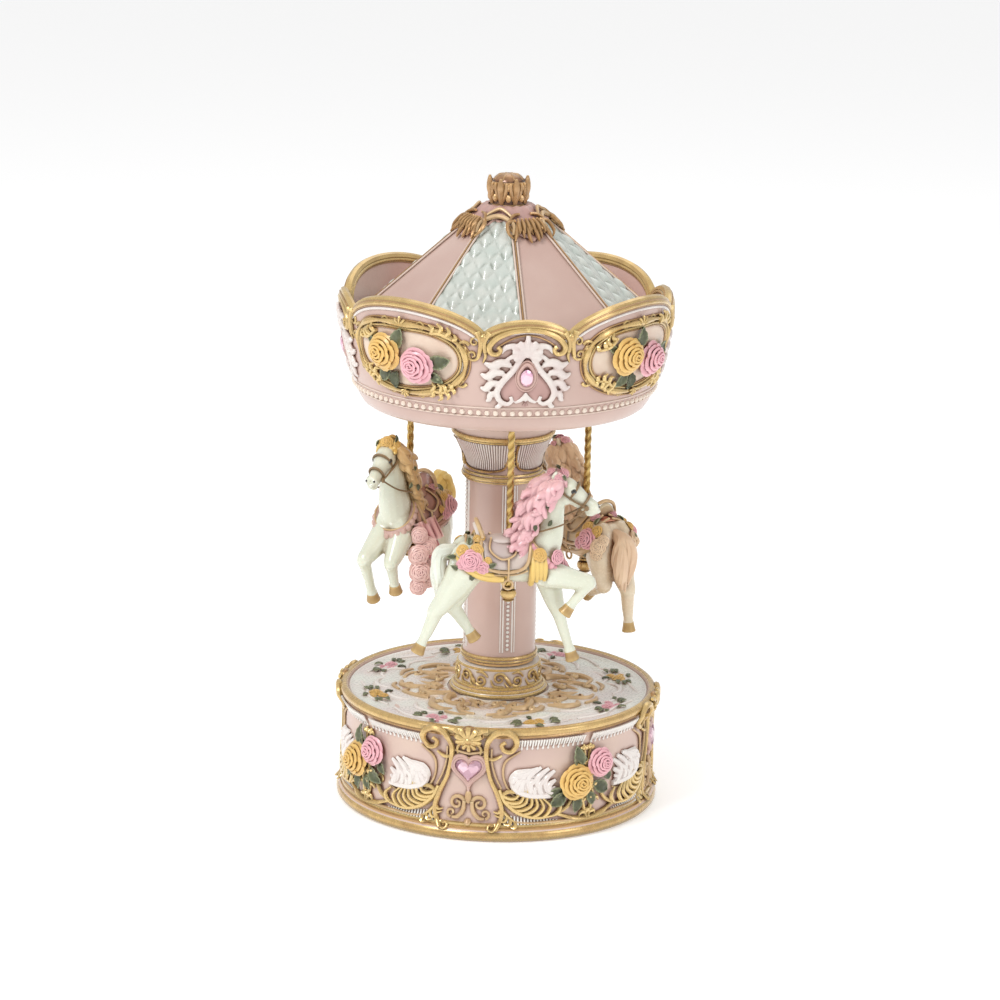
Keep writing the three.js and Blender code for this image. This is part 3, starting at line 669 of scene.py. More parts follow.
class Paint(Enum):
    """The finishes of the music box."""

    # Third colour: recess paint with painted shade; fourth: worn edges with painted highlights.
    PINK = Finish(
        "pink resin", (0.77, 0.645, 0.60), (0.81, 0.70, 0.655), (0.50, 0.34, 0.28), (0.89, 0.81, 0.76),
        cloud=45, coat=0.3, gloss=0.33
    )
    BLUSH = Finish(
        "blush resin", (0.85, 0.75, 0.69), (0.82, 0.71, 0.67), (0.56, 0.38, 0.30), (0.92, 0.86, 0.80),
        cloud=70
    )
    # The inner faces of the canopy wall: the same pink resin, painted lighter than the outside to offset the
    # shade inside the scallops.
    LIT_LINING = Finish(
        "canopy lining painted lighter", (0.87, 0.73, 0.69), (0.90, 0.78, 0.74), (0.60, 0.42, 0.37), (0.93, 0.84, 0.79),
        cloud=60, coat=0.3
    )
    MAUVE = Finish(
        "mauve resin", (0.72, 0.57, 0.54), (0.77, 0.62, 0.59), (0.42, 0.26, 0.21), (0.85, 0.72, 0.67),
        cloud=60
    )
    PEARL = Finish(
        "pearl resin", (0.89, 0.90, 0.86), (0.88, 0.83, 0.81), (0.68, 0.55, 0.45), (0.96, 0.96, 0.93),
        coat=0.5, gloss=0.28, cloud=60, stain=(0.74, 0.56, 0.40), stain_from=27.0, stain_full=17.0
    )
    WHITE = Finish(
        "white relief", (0.90, 0.87, 0.84), (0.86, 0.80, 0.78), (0.66, 0.52, 0.47), (0.96, 0.95, 0.93),
        coat=0.3, gloss=0.3
    )
    PLUME = Finish(
        "plume relief", (0.90, 0.87, 0.84), (0.87, 0.80, 0.78), (0.64, 0.48, 0.43), (0.93, 0.91, 0.89),
        coat=0.3, gloss=0.3, strength=2.0, reach=1.6
    )
    SATIN = Finish(
        "roof satin", (0.76, 0.79, 0.76), (0.82, 0.83, 0.80), (0.50, 0.52, 0.47), (0.93, 0.95, 0.93),
        coat=0.5, gloss=0.22, cloud=260, reach=0.9, strength=2.1
    )
    CREAM = Finish(
        "cream ground", (0.90, 0.82, 0.74), (0.87, 0.76, 0.68), (0.56, 0.38, 0.24), (0.95, 0.91, 0.85)
    )
    # Its light and dark cloudy gold is partly real mottling and partly painted sheen, standing in for
    # highlights and shade.
    GILT = Finish(
        "antique gilt", (0.64, 0.46, 0.25), (0.80, 0.65, 0.40), (0.26, 0.14, 0.07), (0.95, 0.84, 0.58),
        metal=0.5, gloss=0.27, strength=3.0, coat=0.4, reach=2.2, cloud=240, grain=700, bump=0.025
    )
    DARK_GILT = Finish(
        "dark gilt", (0.46, 0.30, 0.19), (0.64, 0.46, 0.31), (0.16, 0.08, 0.05), (0.86, 0.70, 0.48),
        metal=0.5, gloss=0.3, strength=2.4, coat=0.35, cloud=300, grain=700, bump=0.03
    )
    CROWN = Finish(
        "crown gilt", (0.48, 0.33, 0.24), (0.68, 0.50, 0.36), (0.22, 0.12, 0.08), (0.86, 0.70, 0.48),
        metal=0.4, gloss=0.3, strength=1.8, coat=0.4, cloud=300, grain=700, bump=0.03
    )
    TAN = Finish(
        "tan relief", (0.66, 0.49, 0.34), (0.78, 0.63, 0.46), (0.34, 0.19, 0.11), (0.90, 0.80, 0.62),
        metal=0.2, strength=2.2, cloud=240
    )
    BRASS = Finish(
        "pole brass", (0.58, 0.44, 0.22), (0.74, 0.60, 0.34), (0.16, 0.09, 0.04), (0.96, 0.85, 0.56),
        metal=0.85, gloss=0.26, strength=2.4, reach=0.5
    )
    YELLOW_ROSE = Finish(
        "yellow rose", (0.77, 0.54, 0.21), (0.83, 0.62, 0.31), (0.42, 0.22, 0.06), (0.92, 0.76, 0.45),
        strength=2.4, reach=1.5
    )
    PINK_ROSE = Finish(
        "pink rose", (0.79, 0.44, 0.50), (0.84, 0.53, 0.58), (0.50, 0.17, 0.24), (0.94, 0.72, 0.75),
        strength=2.4, reach=1.5
    )
    LEAF = Finish(
        "rose leaf", (0.29, 0.31, 0.21), (0.40, 0.42, 0.30), (0.10, 0.11, 0.06), (0.58, 0.60, 0.46),
        strength=1.8
    )
    IVORY = Finish(
        "ivory horse", (0.89, 0.90, 0.83), (0.87, 0.88, 0.80), (0.62, 0.54, 0.41), (0.95, 0.96, 0.91),
        coat=0.5, gloss=0.25, soft=0.15, strength=1.6, cloud=90, reach=2.2
    )
    CREAM_COAT = Finish(
        "cream horse", (0.91, 0.86, 0.76), (0.87, 0.78, 0.65), (0.60, 0.43, 0.30), (0.96, 0.94, 0.88),
        coat=0.5, gloss=0.26, soft=0.15, strength=1.5, cloud=90, reach=2.2
    )
    ROSE_HAIR = Finish(
        "rose mane", (0.82, 0.49, 0.55), (0.90, 0.67, 0.69), (0.54, 0.22, 0.29), (0.96, 0.83, 0.83),
        strength=2.5, reach=1.6
    )
    RUST_HAIR = Finish(
        "rust mane", (0.68, 0.48, 0.29), (0.82, 0.64, 0.40), (0.38, 0.22, 0.12), (0.92, 0.80, 0.58),
        strength=2.0
    )
    PEACH_HAIR = Finish(
        "peach mane", (0.80, 0.61, 0.48), (0.87, 0.72, 0.57), (0.50, 0.31, 0.22), (0.95, 0.85, 0.72),
        strength=2.0
    )
    LILAC = Finish(
        "lilac saddle", (0.80, 0.74, 0.70), (0.75, 0.69, 0.68), (0.46, 0.33, 0.26), (0.91, 0.87, 0.83)
    )
    UMBER = Finish(
        "umber saddle", (0.62, 0.42, 0.36), (0.70, 0.52, 0.45), (0.32, 0.18, 0.14), (0.82, 0.66, 0.56)
    )
    SAND = Finish(
        "sand saddle", (0.76, 0.66, 0.52), (0.82, 0.74, 0.60), (0.42, 0.29, 0.18), (0.91, 0.87, 0.76)
    )
    CORAL = Finish(
        "coral cloth", (0.74, 0.39, 0.34), (0.82, 0.50, 0.38), (0.40, 0.15, 0.12), (0.92, 0.66, 0.52)
    )
    RUFFLE = Finish(
        "pink cloth", (0.87, 0.54, 0.56), (0.90, 0.65, 0.65), (0.64, 0.33, 0.36), (0.97, 0.83, 0.80),
        strength=1.9, reach=1.4
    )
    STRAP = Finish(
        "yellow strap", (0.84, 0.62, 0.22), (0.90, 0.74, 0.36), (0.50, 0.29, 0.07), (0.97, 0.87, 0.56),
        strength=2.1
    )
    BRIDLE = Finish(
        "dark bridle", (0.30, 0.24, 0.17), (0.42, 0.32, 0.22), (0.12, 0.08, 0.05), (0.62, 0.50, 0.34)
    )
    HOOF = Finish(
        "gilt hoof", (0.54, 0.40, 0.24), (0.68, 0.53, 0.33), (0.22, 0.15, 0.09), (0.86, 0.74, 0.50), metal=0.2
    )
    EYE = Finish("eye", (0.06, 0.06, 0.06), (0.10, 0.08, 0.07), (0.02, 0.02, 0.02), gloss=0.1, coat=1.0)
    CARD = Finish(
        "base cover", (0.84, 0.74, 0.74), (0.80, 0.70, 0.70), (0.50, 0.40, 0.40), gloss=0.55, coat=0.0
    )
    STEEL = Finish(
        "bright steel", (0.70, 0.71, 0.73), (0.78, 0.79, 0.81), (0.30, 0.30, 0.31), metal=1.0, gloss=0.3
    )
    ZINC = Finish(
        "cast zinc", (0.60, 0.61, 0.62), (0.68, 0.69, 0.70), (0.28, 0.28, 0.29), metal=0.9, gloss=0.5,
        bump=0.1
    )
    MOULDED = Finish("moulded part", (0.88, 0.86, 0.80), (0.90, 0.88, 0.84), (0.56, 0.52, 0.44), gloss=0.42)
    TURNED_BRASS = Finish(
        "turned brass", (0.76, 0.62, 0.34), (0.83, 0.70, 0.42), (0.34, 0.23, 0.10), (0.95, 0.86, 0.58),
        metal=0.95, gloss=0.27
    )
    # Pale and dark cells of these stones are painted glints and shade.
    HEART = Stone("heart stone", (0.95, 0.80, 0.85), (0.52, 0.28, 0.38))
    OVAL = Stone("oval stone", (1.0, 0.90, 0.92), (0.90, 0.68, 0.78))


# ------------------------------------------------------------------ ornaments


def rose(radius: float, turn: float, lean: float = 0.0) -> Clay:
    """A cast rose that faces outward: rings of curled petals round a closed bud.

    Args:
        radius: half its width.
        turn: how it is turned about its own middle, in degrees.
        lean: how far its face tips upwards, in degrees.

    Returns:
        The rose, with its middle at the origin.
    """
    bloom = Clay()
    rings = (
        (5, 0.60, 1.00, 0.02, 0.36, 0.34, 0),
        (5, 0.50, 0.84, 0.12, 0.56, 0.26, 37),
        (4, 0.40, 0.66, 0.24, 0.72, 0.18, 12),
        (4, 0.28, 0.49, 0.34, 0.84, 0.12, 58),
        (3, 0.18, 0.33, 0.42, 0.92, 0.07, 20),
        (2, 0.08, 0.18, 0.50, 0.97, 0.03, 70),
    )
    for petals, inner, outer, low, high, curl, start in rings:
        span = math.radians(360 / petals * 0.70)
        for i in range(petals):
            middle = math.radians(start + turn + 360 / petals * i)

            def place(u: float, v: float) -> tuple[float, float, float]:
                """One point of the petal, from its root to its curled lip."""
                rise = (v + 1) / 2 * (1 - 0.16 * u**4)
                angle = middle + u * span * (0.75 + 0.25 * rise)
                lip = max(0.0, rise - 0.68) / 0.32
                reach = inner + (outer - inner) * (0.75 * rise + 0.25 * lip**2) + 0.06 * u
                height = low + (high - low) * math.sin(rise * 1.62) - curl * 0.5 * lip**2
                return (radius * reach * math.cos(angle), radius * reach * math.sin(angle), radius * height)

            bloom.sheet(6, 6, place, 0.085 * radius)
    bloom.ball((0, 0, 0.45 * radius), (0.11 * radius, 0.11 * radius, 0.46 * radius), fine=8)
    bloom.ball((0, 0, 0.10 * radius), (0.80 * radius, 0.80 * radius, 0.40 * radius), fine=14)
    return bloom.move(Matrix.Rotation(math.radians(-lean), 4, "X"))


def leaf(length: float, width: float, turn: float, dish: float = 0.35) -> Clay:
    """A rose leaf with a notched edge, veins and a raised rib.

    Args:
        length: from stalk to tip.
        width: across its widest part.
        turn: the direction of its tip, in degrees.
        dish: how far its edges turn outward, as a share of its width.

    Returns:
        The leaf, with its stalk at the origin.
    """

    def place(u: float, v: float) -> tuple[float, float, float]:
        """One point of the leaf."""
        along = (v + 1) / 2
        half = 0.5 * width * math.sin(math.pi * along**0.8) ** 0.75
        notch = 1 + 0.07 * math.sin(along * 34) * abs(u) ** 3
        vein = 0.05 * width * math.sin(along * 26 - 5 * abs(u))
        crown = 0.35 * math.sin(along * math.pi) * length * 0.35
        return (
            length * along, half * u * notch, 0.25 + crown + dish * width * abs(u) ** 1.5 * 0.5 + vein * 0.6
        )

    made = Clay().sheet(8, 14, place, 0.32)
    rib = [(length * t, 0.0, 0.28 + 0.1225 * math.sin(t * math.pi) * length, 0.2 * (1.1 - t)) for t in
           (0.0, 0.25, 0.5, 0.75, 0.97)]
    made.strands([rib])
    return made.move(spun(turn))


def frond(spine: Sequence[Knot], lobes: int, reach: float, sweep: float, side: int, thick: float) -> Clay:
    """An acanthus frond: a thick spine with tapered lobes that curl back at their tips.

    Args:
        spine: knots of the spine, root first.
        lobes: lobes on each side.
        reach: length of the longest lobe.
        sweep: angle between a lobe and the spine, in degrees.
        side: 1 or -1 for lobes on one side only, and 0 for both.
        thick: half thickness of a lobe at its root.

    Returns:
        The frond.
    """
    line = flowing(spine, 8)
    strands = [line]
    for k in range(lobes):
        share = 0.10 + 0.84 * k / max(1, lobes - 1)
        i = min(len(line) - 2, int(share * (len(line) - 1)))
        x, y, z, _ = line[i]
        heading = math.atan2(line[i + 1][1] - y, line[i + 1][0] - x)
        long = reach * (0.55 + 0.45 * math.sin(math.pi * (0.15 + 0.85 * share)))
        for hand in (1, -1):
            if side and hand != side:
                continue
            knots = []
            for far, bend, width in ((0, 0, 1.1), (0.35, 0, 1.5), (0.7, 0.28, 1.35), (0.97, 0.8, 0.6)):
                angle = heading + hand * math.radians(sweep + 62 * bend)
                knots.append(
                    (x + long * far * math.cos(angle), y + long * far * math.sin(angle),
                     z + 0.30 * math.sin(far * 3), thick * width)
                )
            strands.append(flowing(knots, 4))
    return Clay().strands(strands, sides=1)


def fan(lobes: int, reach: float, spread: float, thick: float, heading: float = 90.0) -> Clay:
    """A shell crest: plump lobes that open like a fan.

    Args:
        lobes: number of lobes.
        reach: length of the middle lobe.
        spread: angle between the outermost lobes, in degrees.
        thick: half thickness of a lobe near its tip.
        heading: the middle lobe's direction, in degrees.

    Returns:
        The shell, with its root at the origin.
    """
    strands = []
    for k in range(lobes):
        off = (k / (lobes - 1) - 0.5) * 2
        angle = math.radians(heading + off * spread / 2)
        long = reach * (1 - 0.22 * off**2)
        curl = math.radians(14 * off)
        knots = [(0.0, 0.0, 0.1, thick * 0.4)]
        for far, width in ((0.45, 0.75), (0.8, 1.0), (1.0, 0.8)):
            knots.append((
                long * far * math.cos(angle + curl * far), long * far * math.sin(angle + curl * far),
                0.3 + 0.5 * math.sin(far * 2.6), thick * width
            ))
        strands.append(flowing(knots, 4))
    return Clay().strands(strands)


def heart_line(half: float, count: int) -> list[tuple[float, float]]:
    """Points round a heart.

    Args:
        half: half its width.
        count: number of points.

    Returns:
        The points, from the dip at the top and round.
    """
    points = []
    for i in range(count):
        t = math.tau * i / count
        x = math.sin(t) ** 3
        y = (13 * math.cos(t) - 5 * math.cos(2 * t) - 2 * math.cos(3 * t) - math.cos(4 * t)) / 16
        points.append((half * x, half * (y + 0.08)))
    return points


def beads(line: Iterable[Knot], radius: float) -> Clay:
    """A row of round beads, each of a few dozen faces."""
    row = Clay()
    for x, y, z, _ in line:
        row.ball((x, y, z), (radius, radius, radius), fine=7)
    return row


def placed(clay: Clay, x: float, y: float, z: float, turn: float = 0.0) -> Clay:
    """Turns flat relief and moves it to its place."""
    return clay.move(Matrix.Translation((x, y, z)) @ spun(turn))


def mirror_pair(clay: Clay) -> Clay:
    """The clay and its mirror image across x = 0."""
    both = Clay().add(clay)
    return both.add(clay, Matrix.Diagonal((-1, 1, 1, 1)))


BOWL = Turned(
    ((118.6, 38.8), (119.8, 41.0), (123.6, 43.0), (128.8, 44.6), (142.0, 46.8), (155.0, 47.9)), reference=46.0
)
DRUM = Turned(
    (
        (0.0, 46.1), (1.2, 46.9), (3.6, 46.9), (6.0, 45.1), (27.5, 44.5), (30.2, 45.9), (32.8, 45.9),
        (34.6, 45.6)
    ),
    reference=45.0
)


# ------------------------------------------------------------------ base


@dataclass
class MusicBase:
    """The drum that holds the movement, with its gilt medallions, roses and hollow underside."""

    medallion_turn: float = -100.0
    rose_turn: float = -56.5
    deck_z: float = 32.0
    body: str = "base"
    shell_rows: tuple[tuple[float, float], ...] = (
        (41.0, 0.05), (41.4, 0.0), (45.9, 0.0), (46.5, 0.4), (46.9, 1.2), (46.9, 2.4), (46.6, 3.2),
        (45.9, 3.9), (45.3, 4.9), (45.0, 6.0), (44.8, 9.0), (44.6, 16.0), (44.5, 24.0), (44.5, 28.6),
        (44.8, 29.8), (45.5, 30.9), (45.9, 31.8), (46.0, 32.6), (45.7, 33.3), (45.1, 33.6), (44.5, 33.4),
        (44.1, 32.9), (43.8, 32.3), (42.9, 31.95), (36.0, 32.0), (20.0, 32.0), (7.0, 32.0), (7.0, 29.0),
        (24.0, 29.0), (40.6, 29.0), (41.0, 28.6), (41.0, 14.0)
    )

    def build(self) -> None:
        """Makes every piece of the base."""
        self.drum()
        self.medallions()
        self.rose_sprays()
        self.panels()
        self.deck()
        self.stones()
        self.screw_bosses()

    def drum(self) -> None:
        """The turned body with its rim, foot and hollow underside."""
        Clay().lathe(self.shell_rows, steps=160, closed=True).fire(
            "base_drum", self.body, Paint.BLUSH, ["base_shell"]
        )
        rim = Clay().lathe(
            [
                (44.3, 33.2), (44.9, 33.72), (45.6, 33.72), (46.3, 33.2), (46.5, 32.5), (46.3, 31.8),
                (45.8, 31.5), (45.2, 31.9), (44.9, 32.8)
            ],
            160, True
        )
        rim.lathe(
            [
                (45.9, 0.15), (46.6, 0.35), (47.15, 1.0), (47.25, 1.9), (47.0, 2.7), (46.4, 3.3), (45.9, 3.2),
                (46.0, 1.6)
            ],
            160, True
        )
        rim.lathe([(45.0, 4.2), (45.9, 4.2), (46.1, 4.6), (45.9, 5.1), (45.2, 5.3), (44.8, 4.8)], 160, True)
        rim.fire("base_gilt_rims", self.body, Paint.GILT)
        line = Clay().lathe(
            [(45.3, 30.7), (45.85, 30.8), (46.0, 31.2), (45.8, 31.6), (45.2, 31.5)], 160, True
        )
        line.lathe([(45.8, 3.2), (46.4, 3.35), (46.3, 3.9), (45.9, 4.2), (45.4, 4.0)], 160, True)
        line.fire("base_dark_lines", self.body, Paint.DARK_GILT)

    def medallions(self) -> None:
        """Gilt scroll frames with a shell on top and a dark rose heart setting in the middle."""
        side = flowing(
            [
                (7.8, 3.9, 0.6, 0.55), (9.3, 6.6, 0.6, 0.7), (9.5, 10.0, 0.7, 0.75), (8.2, 14.2, 0.7, 0.7),
                (6.3, 18.5, 0.7, 0.62), (5.3, 22.6, 0.8, 0.66), (4.9, 26.6, 0.9, 0.78),
                (5.5, 30.0, 0.9, 0.85), (7.4, 32.4, 1.0, 0.9), (10.2, 33.0, 1.0, 0.95),
                (12.7, 31.4, 0.9, 0.95), (13.3, 28.8, 0.8, 0.85), (11.9, 26.8, 0.8, 0.75),
                (9.9, 27.2, 0.8, 0.7), (9.2, 28.9, 0.9, 0.65), (10.2, 30.0, 1.1, 0.7)
            ],
            6
        )
        gilt = mirror_pair(Clay().strands([side, volute(6.6, 4.6, 1.5, 30, -1.0, 0.5, 0.3)]))
        gilt.ball((0, 29.6, 0.5), (1.9, 1.5, 1.2))
        gilt.add(placed(fan(7, 4.3, 165, 0.92), 0, 29.7, 0.3))
        gilt.add(placed(fan(5, 3.0, 120, 0.66, -90.0), 0, 29.6, 0.4))
        gilt.add(mirror_pair(Clay().strands([
            flowing([(2.2, 31.4, 0.8, 0.6), (3.6, 33.0, 1.0, 0.72), (5.4, 33.4, 1.1, 0.45)]),
            flowing([(2.4, 28.6, 0.6, 0.5), (3.4, 27.2, 0.6, 0.5), (3.2, 25.6, 0.5, 0.25)]),
            flowing([(5.0, 24.8, 0.5, 0.4), (7.0, 24.4, 0.6, 0.55), (9.4, 25.6, 0.5, 0.3)]),
            flowing([(8.6, 13.2, 0.5, 0.5), (11.6, 15.0, 0.7, 0.6), (14.6, 14.2, 0.5, 0.3)]),
        ])))
        for hand in (1, -1):
            gilt.add(frond(
                [(8.8 * hand, 15.4, 0.5, 0.6), (10.4 * hand, 12.0, 0.7, 0.75), (14.0 * hand, 8.8, 0.8, 0.75),
                 (19.4 * hand, 7.0, 0.7, 0.62), (26.0 * hand, 7.4, 0.5, 0.35)], 8, 7.6, 36, hand, 0.42,
            ))
            gilt.add(frond(
                [(9.2 * hand, 10.2, 0.4, 0.5), (11.0 * hand, 7.9, 0.5, 0.55), (13.6 * hand, 5.6, 0.5, 0.3)],
                5, 2.8, 48, -hand, 0.34,
            ))
            gilt.strands([
                flowing(
                    [
                        (24.2 * hand, 7.2, 0.4, 0.5), (28.6 * hand, 9.4, 0.6, 0.62),
                        (30.8 * hand, 12.6, 0.5, 0.5)
                    ],
                    6
                ),
                volute(29.4 * hand, 13.0, 1.7, -20 if hand > 0 else 200, 0.95 * hand, 0.5, 0.3),
                flowing(
                    [
                        (26.0 * hand, 7.4, 0.4, 0.5), (30.2 * hand, 5.9, 0.4, 0.6),
                        (35.4 * hand, 5.2, 0.3, 0.45)
                    ],
                    6
                )
            ])
            gilt.add(
                frond(
                    [
                        (35.0 * hand, 5.4, 0.3, 0.5), (33.6 * hand, 12.0, 0.5, 0.6),
                        (34.8 * hand, 19.0, 0.5, 0.55), (34.2 * hand, 27.0, 0.4, 0.35)
                    ],
                    6, 2.6, 42, 0, 0.42
                )
            )
        self.lay(gilt, self.medallion_turn, "base_gilt_scrolls", Paint.GILT)

        tan = mirror_pair(
            Clay().strands([
                flowing([
                    (6.4, 27.4, 0.5, 0.28), (6.5, 23.6, 0.5, 0.32), (7.5, 19.6, 0.5, 0.32),
                    (9.3, 15.8, 0.5, 0.28)
                ]),
                volute(3.2, 10.9, 2.2, 160, -1.2, 0.62, 0.35),
                flowing(
                    [
                        (1.1, 11.6, 0.3, 0.55), (1.5, 8.8, 0.4, 0.65), (3.0, 6.9, 0.4, 0.6),
                        (4.6, 6.6, 0.3, 0.4)
                    ],
                    6
                ),
                volute(4.8, 7.9, 1.4, -80, 0.95, 0.5, 0.3)
            ])
        )
        tan.strands([
            flowing([(-4.4, 26.6, 0.4, 0.34), (0, 25.9, 0.7, 0.42), (4.4, 26.6, 0.4, 0.34)], 6),
            flowing([(-4.2, 25.1, 0.3, 0.26), (0, 24.5, 0.6, 0.3), (4.2, 25.1, 0.3, 0.26)], 6),
        ])
        tan.ball((0, 12.8, 0.2), (1.0, 2.0, 0.8))
        tan.ball((0, 5.6, 0.2), (1.0, 0.9, 0.7))
        self.lay(tan, self.medallion_turn, "base_tan_scrolls", Paint.TAN)

        setting = Clay().strands(
            [
                [(x, y + HEART_Z, z, w) for x, y in heart_line(half, 48)] for half, z,
                w in ((4.75, 0.6, 0.72), (4.1, 1.05, 0.34))
            ],
            ring=True
        )
        setting.strands([[(0, 16.4, 0.4, 0.6), (0, 14.2, 0.3, 0.2)]])
        self.lay(setting, self.medallion_turn, "heart_settings", Paint.MAUVE)

    def lay(self, relief: Clay, turn: float, name: str, paint: Paint) -> None:
        """Lays flat relief on the drum, four times round, as one piece.

        Args:
            relief: the relief, with x = 0 in its middle.
            turn: the angle of the first copy's middle.
            name: the piece's name.
            paint: its finish.
        """
        DRUM.wrap(relief, turn).around().fire(name, self.body, paint)

    def rose_sprays(self) -> None:
        """One yellow and one pink rose with leaves on each panel."""
        yellow = placed(rose(5.0, 12, 4), -3.0, 16.6, 0.5)
        pink = placed(rose(4.15, 40, 4), 5.0, 21.2, 0.7)
        leaves = Clay()
        for x, y, length, width, turn in (
            (-1.6, 20.6, 6.6, 3.8, 100), (0.6, 21.6, 4.6, 2.8, 140), (-6.4, 13.4, 5.6, 3.8, 216),
            (-7.0, 14.4, 4.6, 3.0, 186), (-2.4, 12.2, 5.0, 3.2, 262), (1.2, 13.0, 4.6, 3.0, 292),
            (3.0, 15.4, 6.2, 4.0, 328), (7.2, 18.4, 4.0, 2.6, 300),
        ):
            leaves.add(placed(leaf(length, width, turn), x, y, 0.15))
        for clay, name, paint in (
            (yellow, "base_yellow_roses", Paint.YELLOW_ROSE), (pink, "base_pink_roses", Paint.PINK_ROSE),
            (leaves, "base_rose_leaves", Paint.LEAF)
        ):
            self.lay(clay, self.rose_turn, name, paint)

    def panels(self) -> None:
        """Pale plumes, the fringe under the rim and the ribs above the foot."""
        plume = Clay()
        for lobes, reach, sweep, lift, thick in (
            (7, 8.6, 46, 0.0, 0.86), (6, 5.4, 52, 0.4, 0.8), (4, 3.0, 58, 0.7, 0.6)
        ):
            spine = [(25.4, 13.2, lift, 0.7), (21.4, 13.3, lift + 0.2, 1.0), (17.0, 13.8, lift + 0.3, 1.1),
                     (13.4, 15.4, lift + 0.3, 0.9), (12.0, 18.0, lift + 0.2, 0.5)]
            plume.add(frond(spine, lobes, reach, sweep, -1, thick))
        plumes = mirror_pair(plume.flatten(0.7))
        self.lay(plumes, self.medallion_turn, "base_plumes", Paint.PLUME)
        pale = Clay()
        count = 26
        for i in range(count):
            for hand in (1, -1):
                at = (14.2 + 20.4 * i / count) * hand
                pale.strands([[(at, 30.3, 0.3, 0.34), (at, 28.2 - 0.5 * (i % 2), 0.1, 0.24)]], sides=1)
                if i % 2:
                    pale.ball((at, 27.4, 0.05), (0.4, 0.5, 0.3), fine=7)
        for i in range(17):
            for hand in (1, -1):
                at = (10.4 + 0.95 * i) * hand
                pale.strands([[(at, 5.1, 0.15, 0.3), (at, 7.9 - 0.13 * i, -0.05, 0.26)]], sides=1)
        self.lay(pale, self.medallion_turn, "base_pale_relief", Paint.WHITE)

        edge = Clay()
        for hand in (1, -1):
            edge.strands([
                flowing(
                    [
                        (14.6 * hand, 26.6, 0.2, 0.26), (10.6 * hand, 23.8, 0.3, 0.36),
                        (9.8 * hand, 20.0, 0.2, 0.34), (11.2 * hand, 15.8, 0.2, 0.34),
                        (14.8 * hand, 12.0, 0.2, 0.32), (20.0 * hand, 10.8, 0.2, 0.3),
                        (25.4 * hand, 12.2, 0.1, 0.22)
                    ],
                    7
                ),
                flowing(
                    [
                        (9.6 * hand, 8.6, 0.2, 0.3), (14.0 * hand, 5.9, 0.4, 0.3),
                        (24.0 * hand, 5.5, 0.4, 0.3), (35.3 * hand, 5.4, 0.4, 0.3)
                    ],
                    6
                )
            ])
        self.lay(edge, self.medallion_turn, "base_panel_lines", Paint.TAN)

        knobs = Clay()
        knobs.ball((0, 32.6, 0.3), (2.4, 1.7, 1.3), fine=14)
        knobs.add(mirror_pair(Clay().strands([volute(2.9, 31.4, 1.5, 120, -1.0, 0.55, 0.3)])))
        knobs.ball((0, 30.2, 0.3), (1.0, 1.4, 0.8), fine=12)
        self.lay(knobs, self.medallion_turn, "rim_knobs", Paint.DARK_GILT)

    def deck(self) -> None:
        """Pearly waves, tan rocaille round the plinth and small painted roses near the rim."""
        top = self.deck_z
        pearl = Clay().lathe(
            [
                *((15.0 + 1.0 * i, top + 0.35) for i in range(29)), (43.6, top + 0.7), (43.9, top + 0.4),
                (43.4, top - 0.1), (30.0, top - 0.1), (15.0, top - 0.1)
            ],
            180, True
        )
        for vert in pearl.bm.verts:
            if vert.co.z > top:
                reach, angle = vert.co.xy.length, math.atan2(vert.co.y, vert.co.x)
                ripple = math.sin(0.62 * reach + 1.6 * math.sin(4 * angle) + 0.7 * math.sin(9 * angle))
                lobes = math.cos(8 * angle + 0.3 * reach)
                fade = min(1.0, max(0.0, (42.6 - reach) / 5))
                vert.co.z += (0.26 * ripple + 0.12 * lobes) * fade
        pearl.fire("deck_pearl", self.body, Paint.PEARL)

        ridges, waves = [], []
        for k in range(8):
            way = 1 if k % 2 else -1
            middle = self.medallion_turn + 22.5 + 45 * k
            for line, knots in (
                (
                    ridges,
                    ((16.4, -20, 1.3), (19.2, -17, 1.35), (22.6, -8, 1.2), (22.6, 3, 1.0), (20.2, 8, 0.8))
                ),
                (ridges, ((18.4, -3, 1.0), (20.8, 3, 1.1), (24.8, 6, 1.1), (28.2, 12, 0.9), (28.6, 19, 0.6))),
                (ridges, ((23.8, -20, 1.0), (27.0, -12, 1.15), (28.4, -3, 0.9), (26.6, 3, 0.5))),
                (ridges, ((16.8, 5, 0.9), (18.0, 11, 1.0), (21.2, 14, 0.9), (24.0, 20, 0.5))),
                (ridges, ((29.6, 2, 0.6), (30.8, 9, 0.8), (30.2, 15, 0.5))),
                (waves, ((29.8, -20, 0.5), (32.8, -13, 0.8), (33.4, -4, 0.7), (31.2, 3, 0.4))),
                (waves, ((31.8, 4, 0.5), (35.2, 9, 0.8), (35.8, 17, 0.7), (34.0, 22, 0.4))),
                (waves, ((37.6, -20, 0.4), (39.6, -8, 0.6), (38.8, 4, 0.6), (40.6, 16, 0.4)))
            ):
                line.append(flowing([(*polar(r, middle + way * a, top + 0.15), w) for r, a, w in knots], 7))
            for r, a, size in ((21.4, 0, 1.7), (26.0, 10, 1.4), (18.6, 14, 1.3), (24.6, -12, 1.2)):
                x, y, _ = polar(r, middle + way * a)
                ridges.append([
                    (u, v, top + 0.3 + z, w) for u, v, z,
                    w in volute(x, y, size, middle + 90, 1.15 * way, 0.7, 0.6)
                ])
        Clay().strands(ridges).fire("deck_tan_relief", self.body, Paint.TAN)
        Clay().strands(waves).fire("deck_pale_relief", self.body, Paint.WHITE)

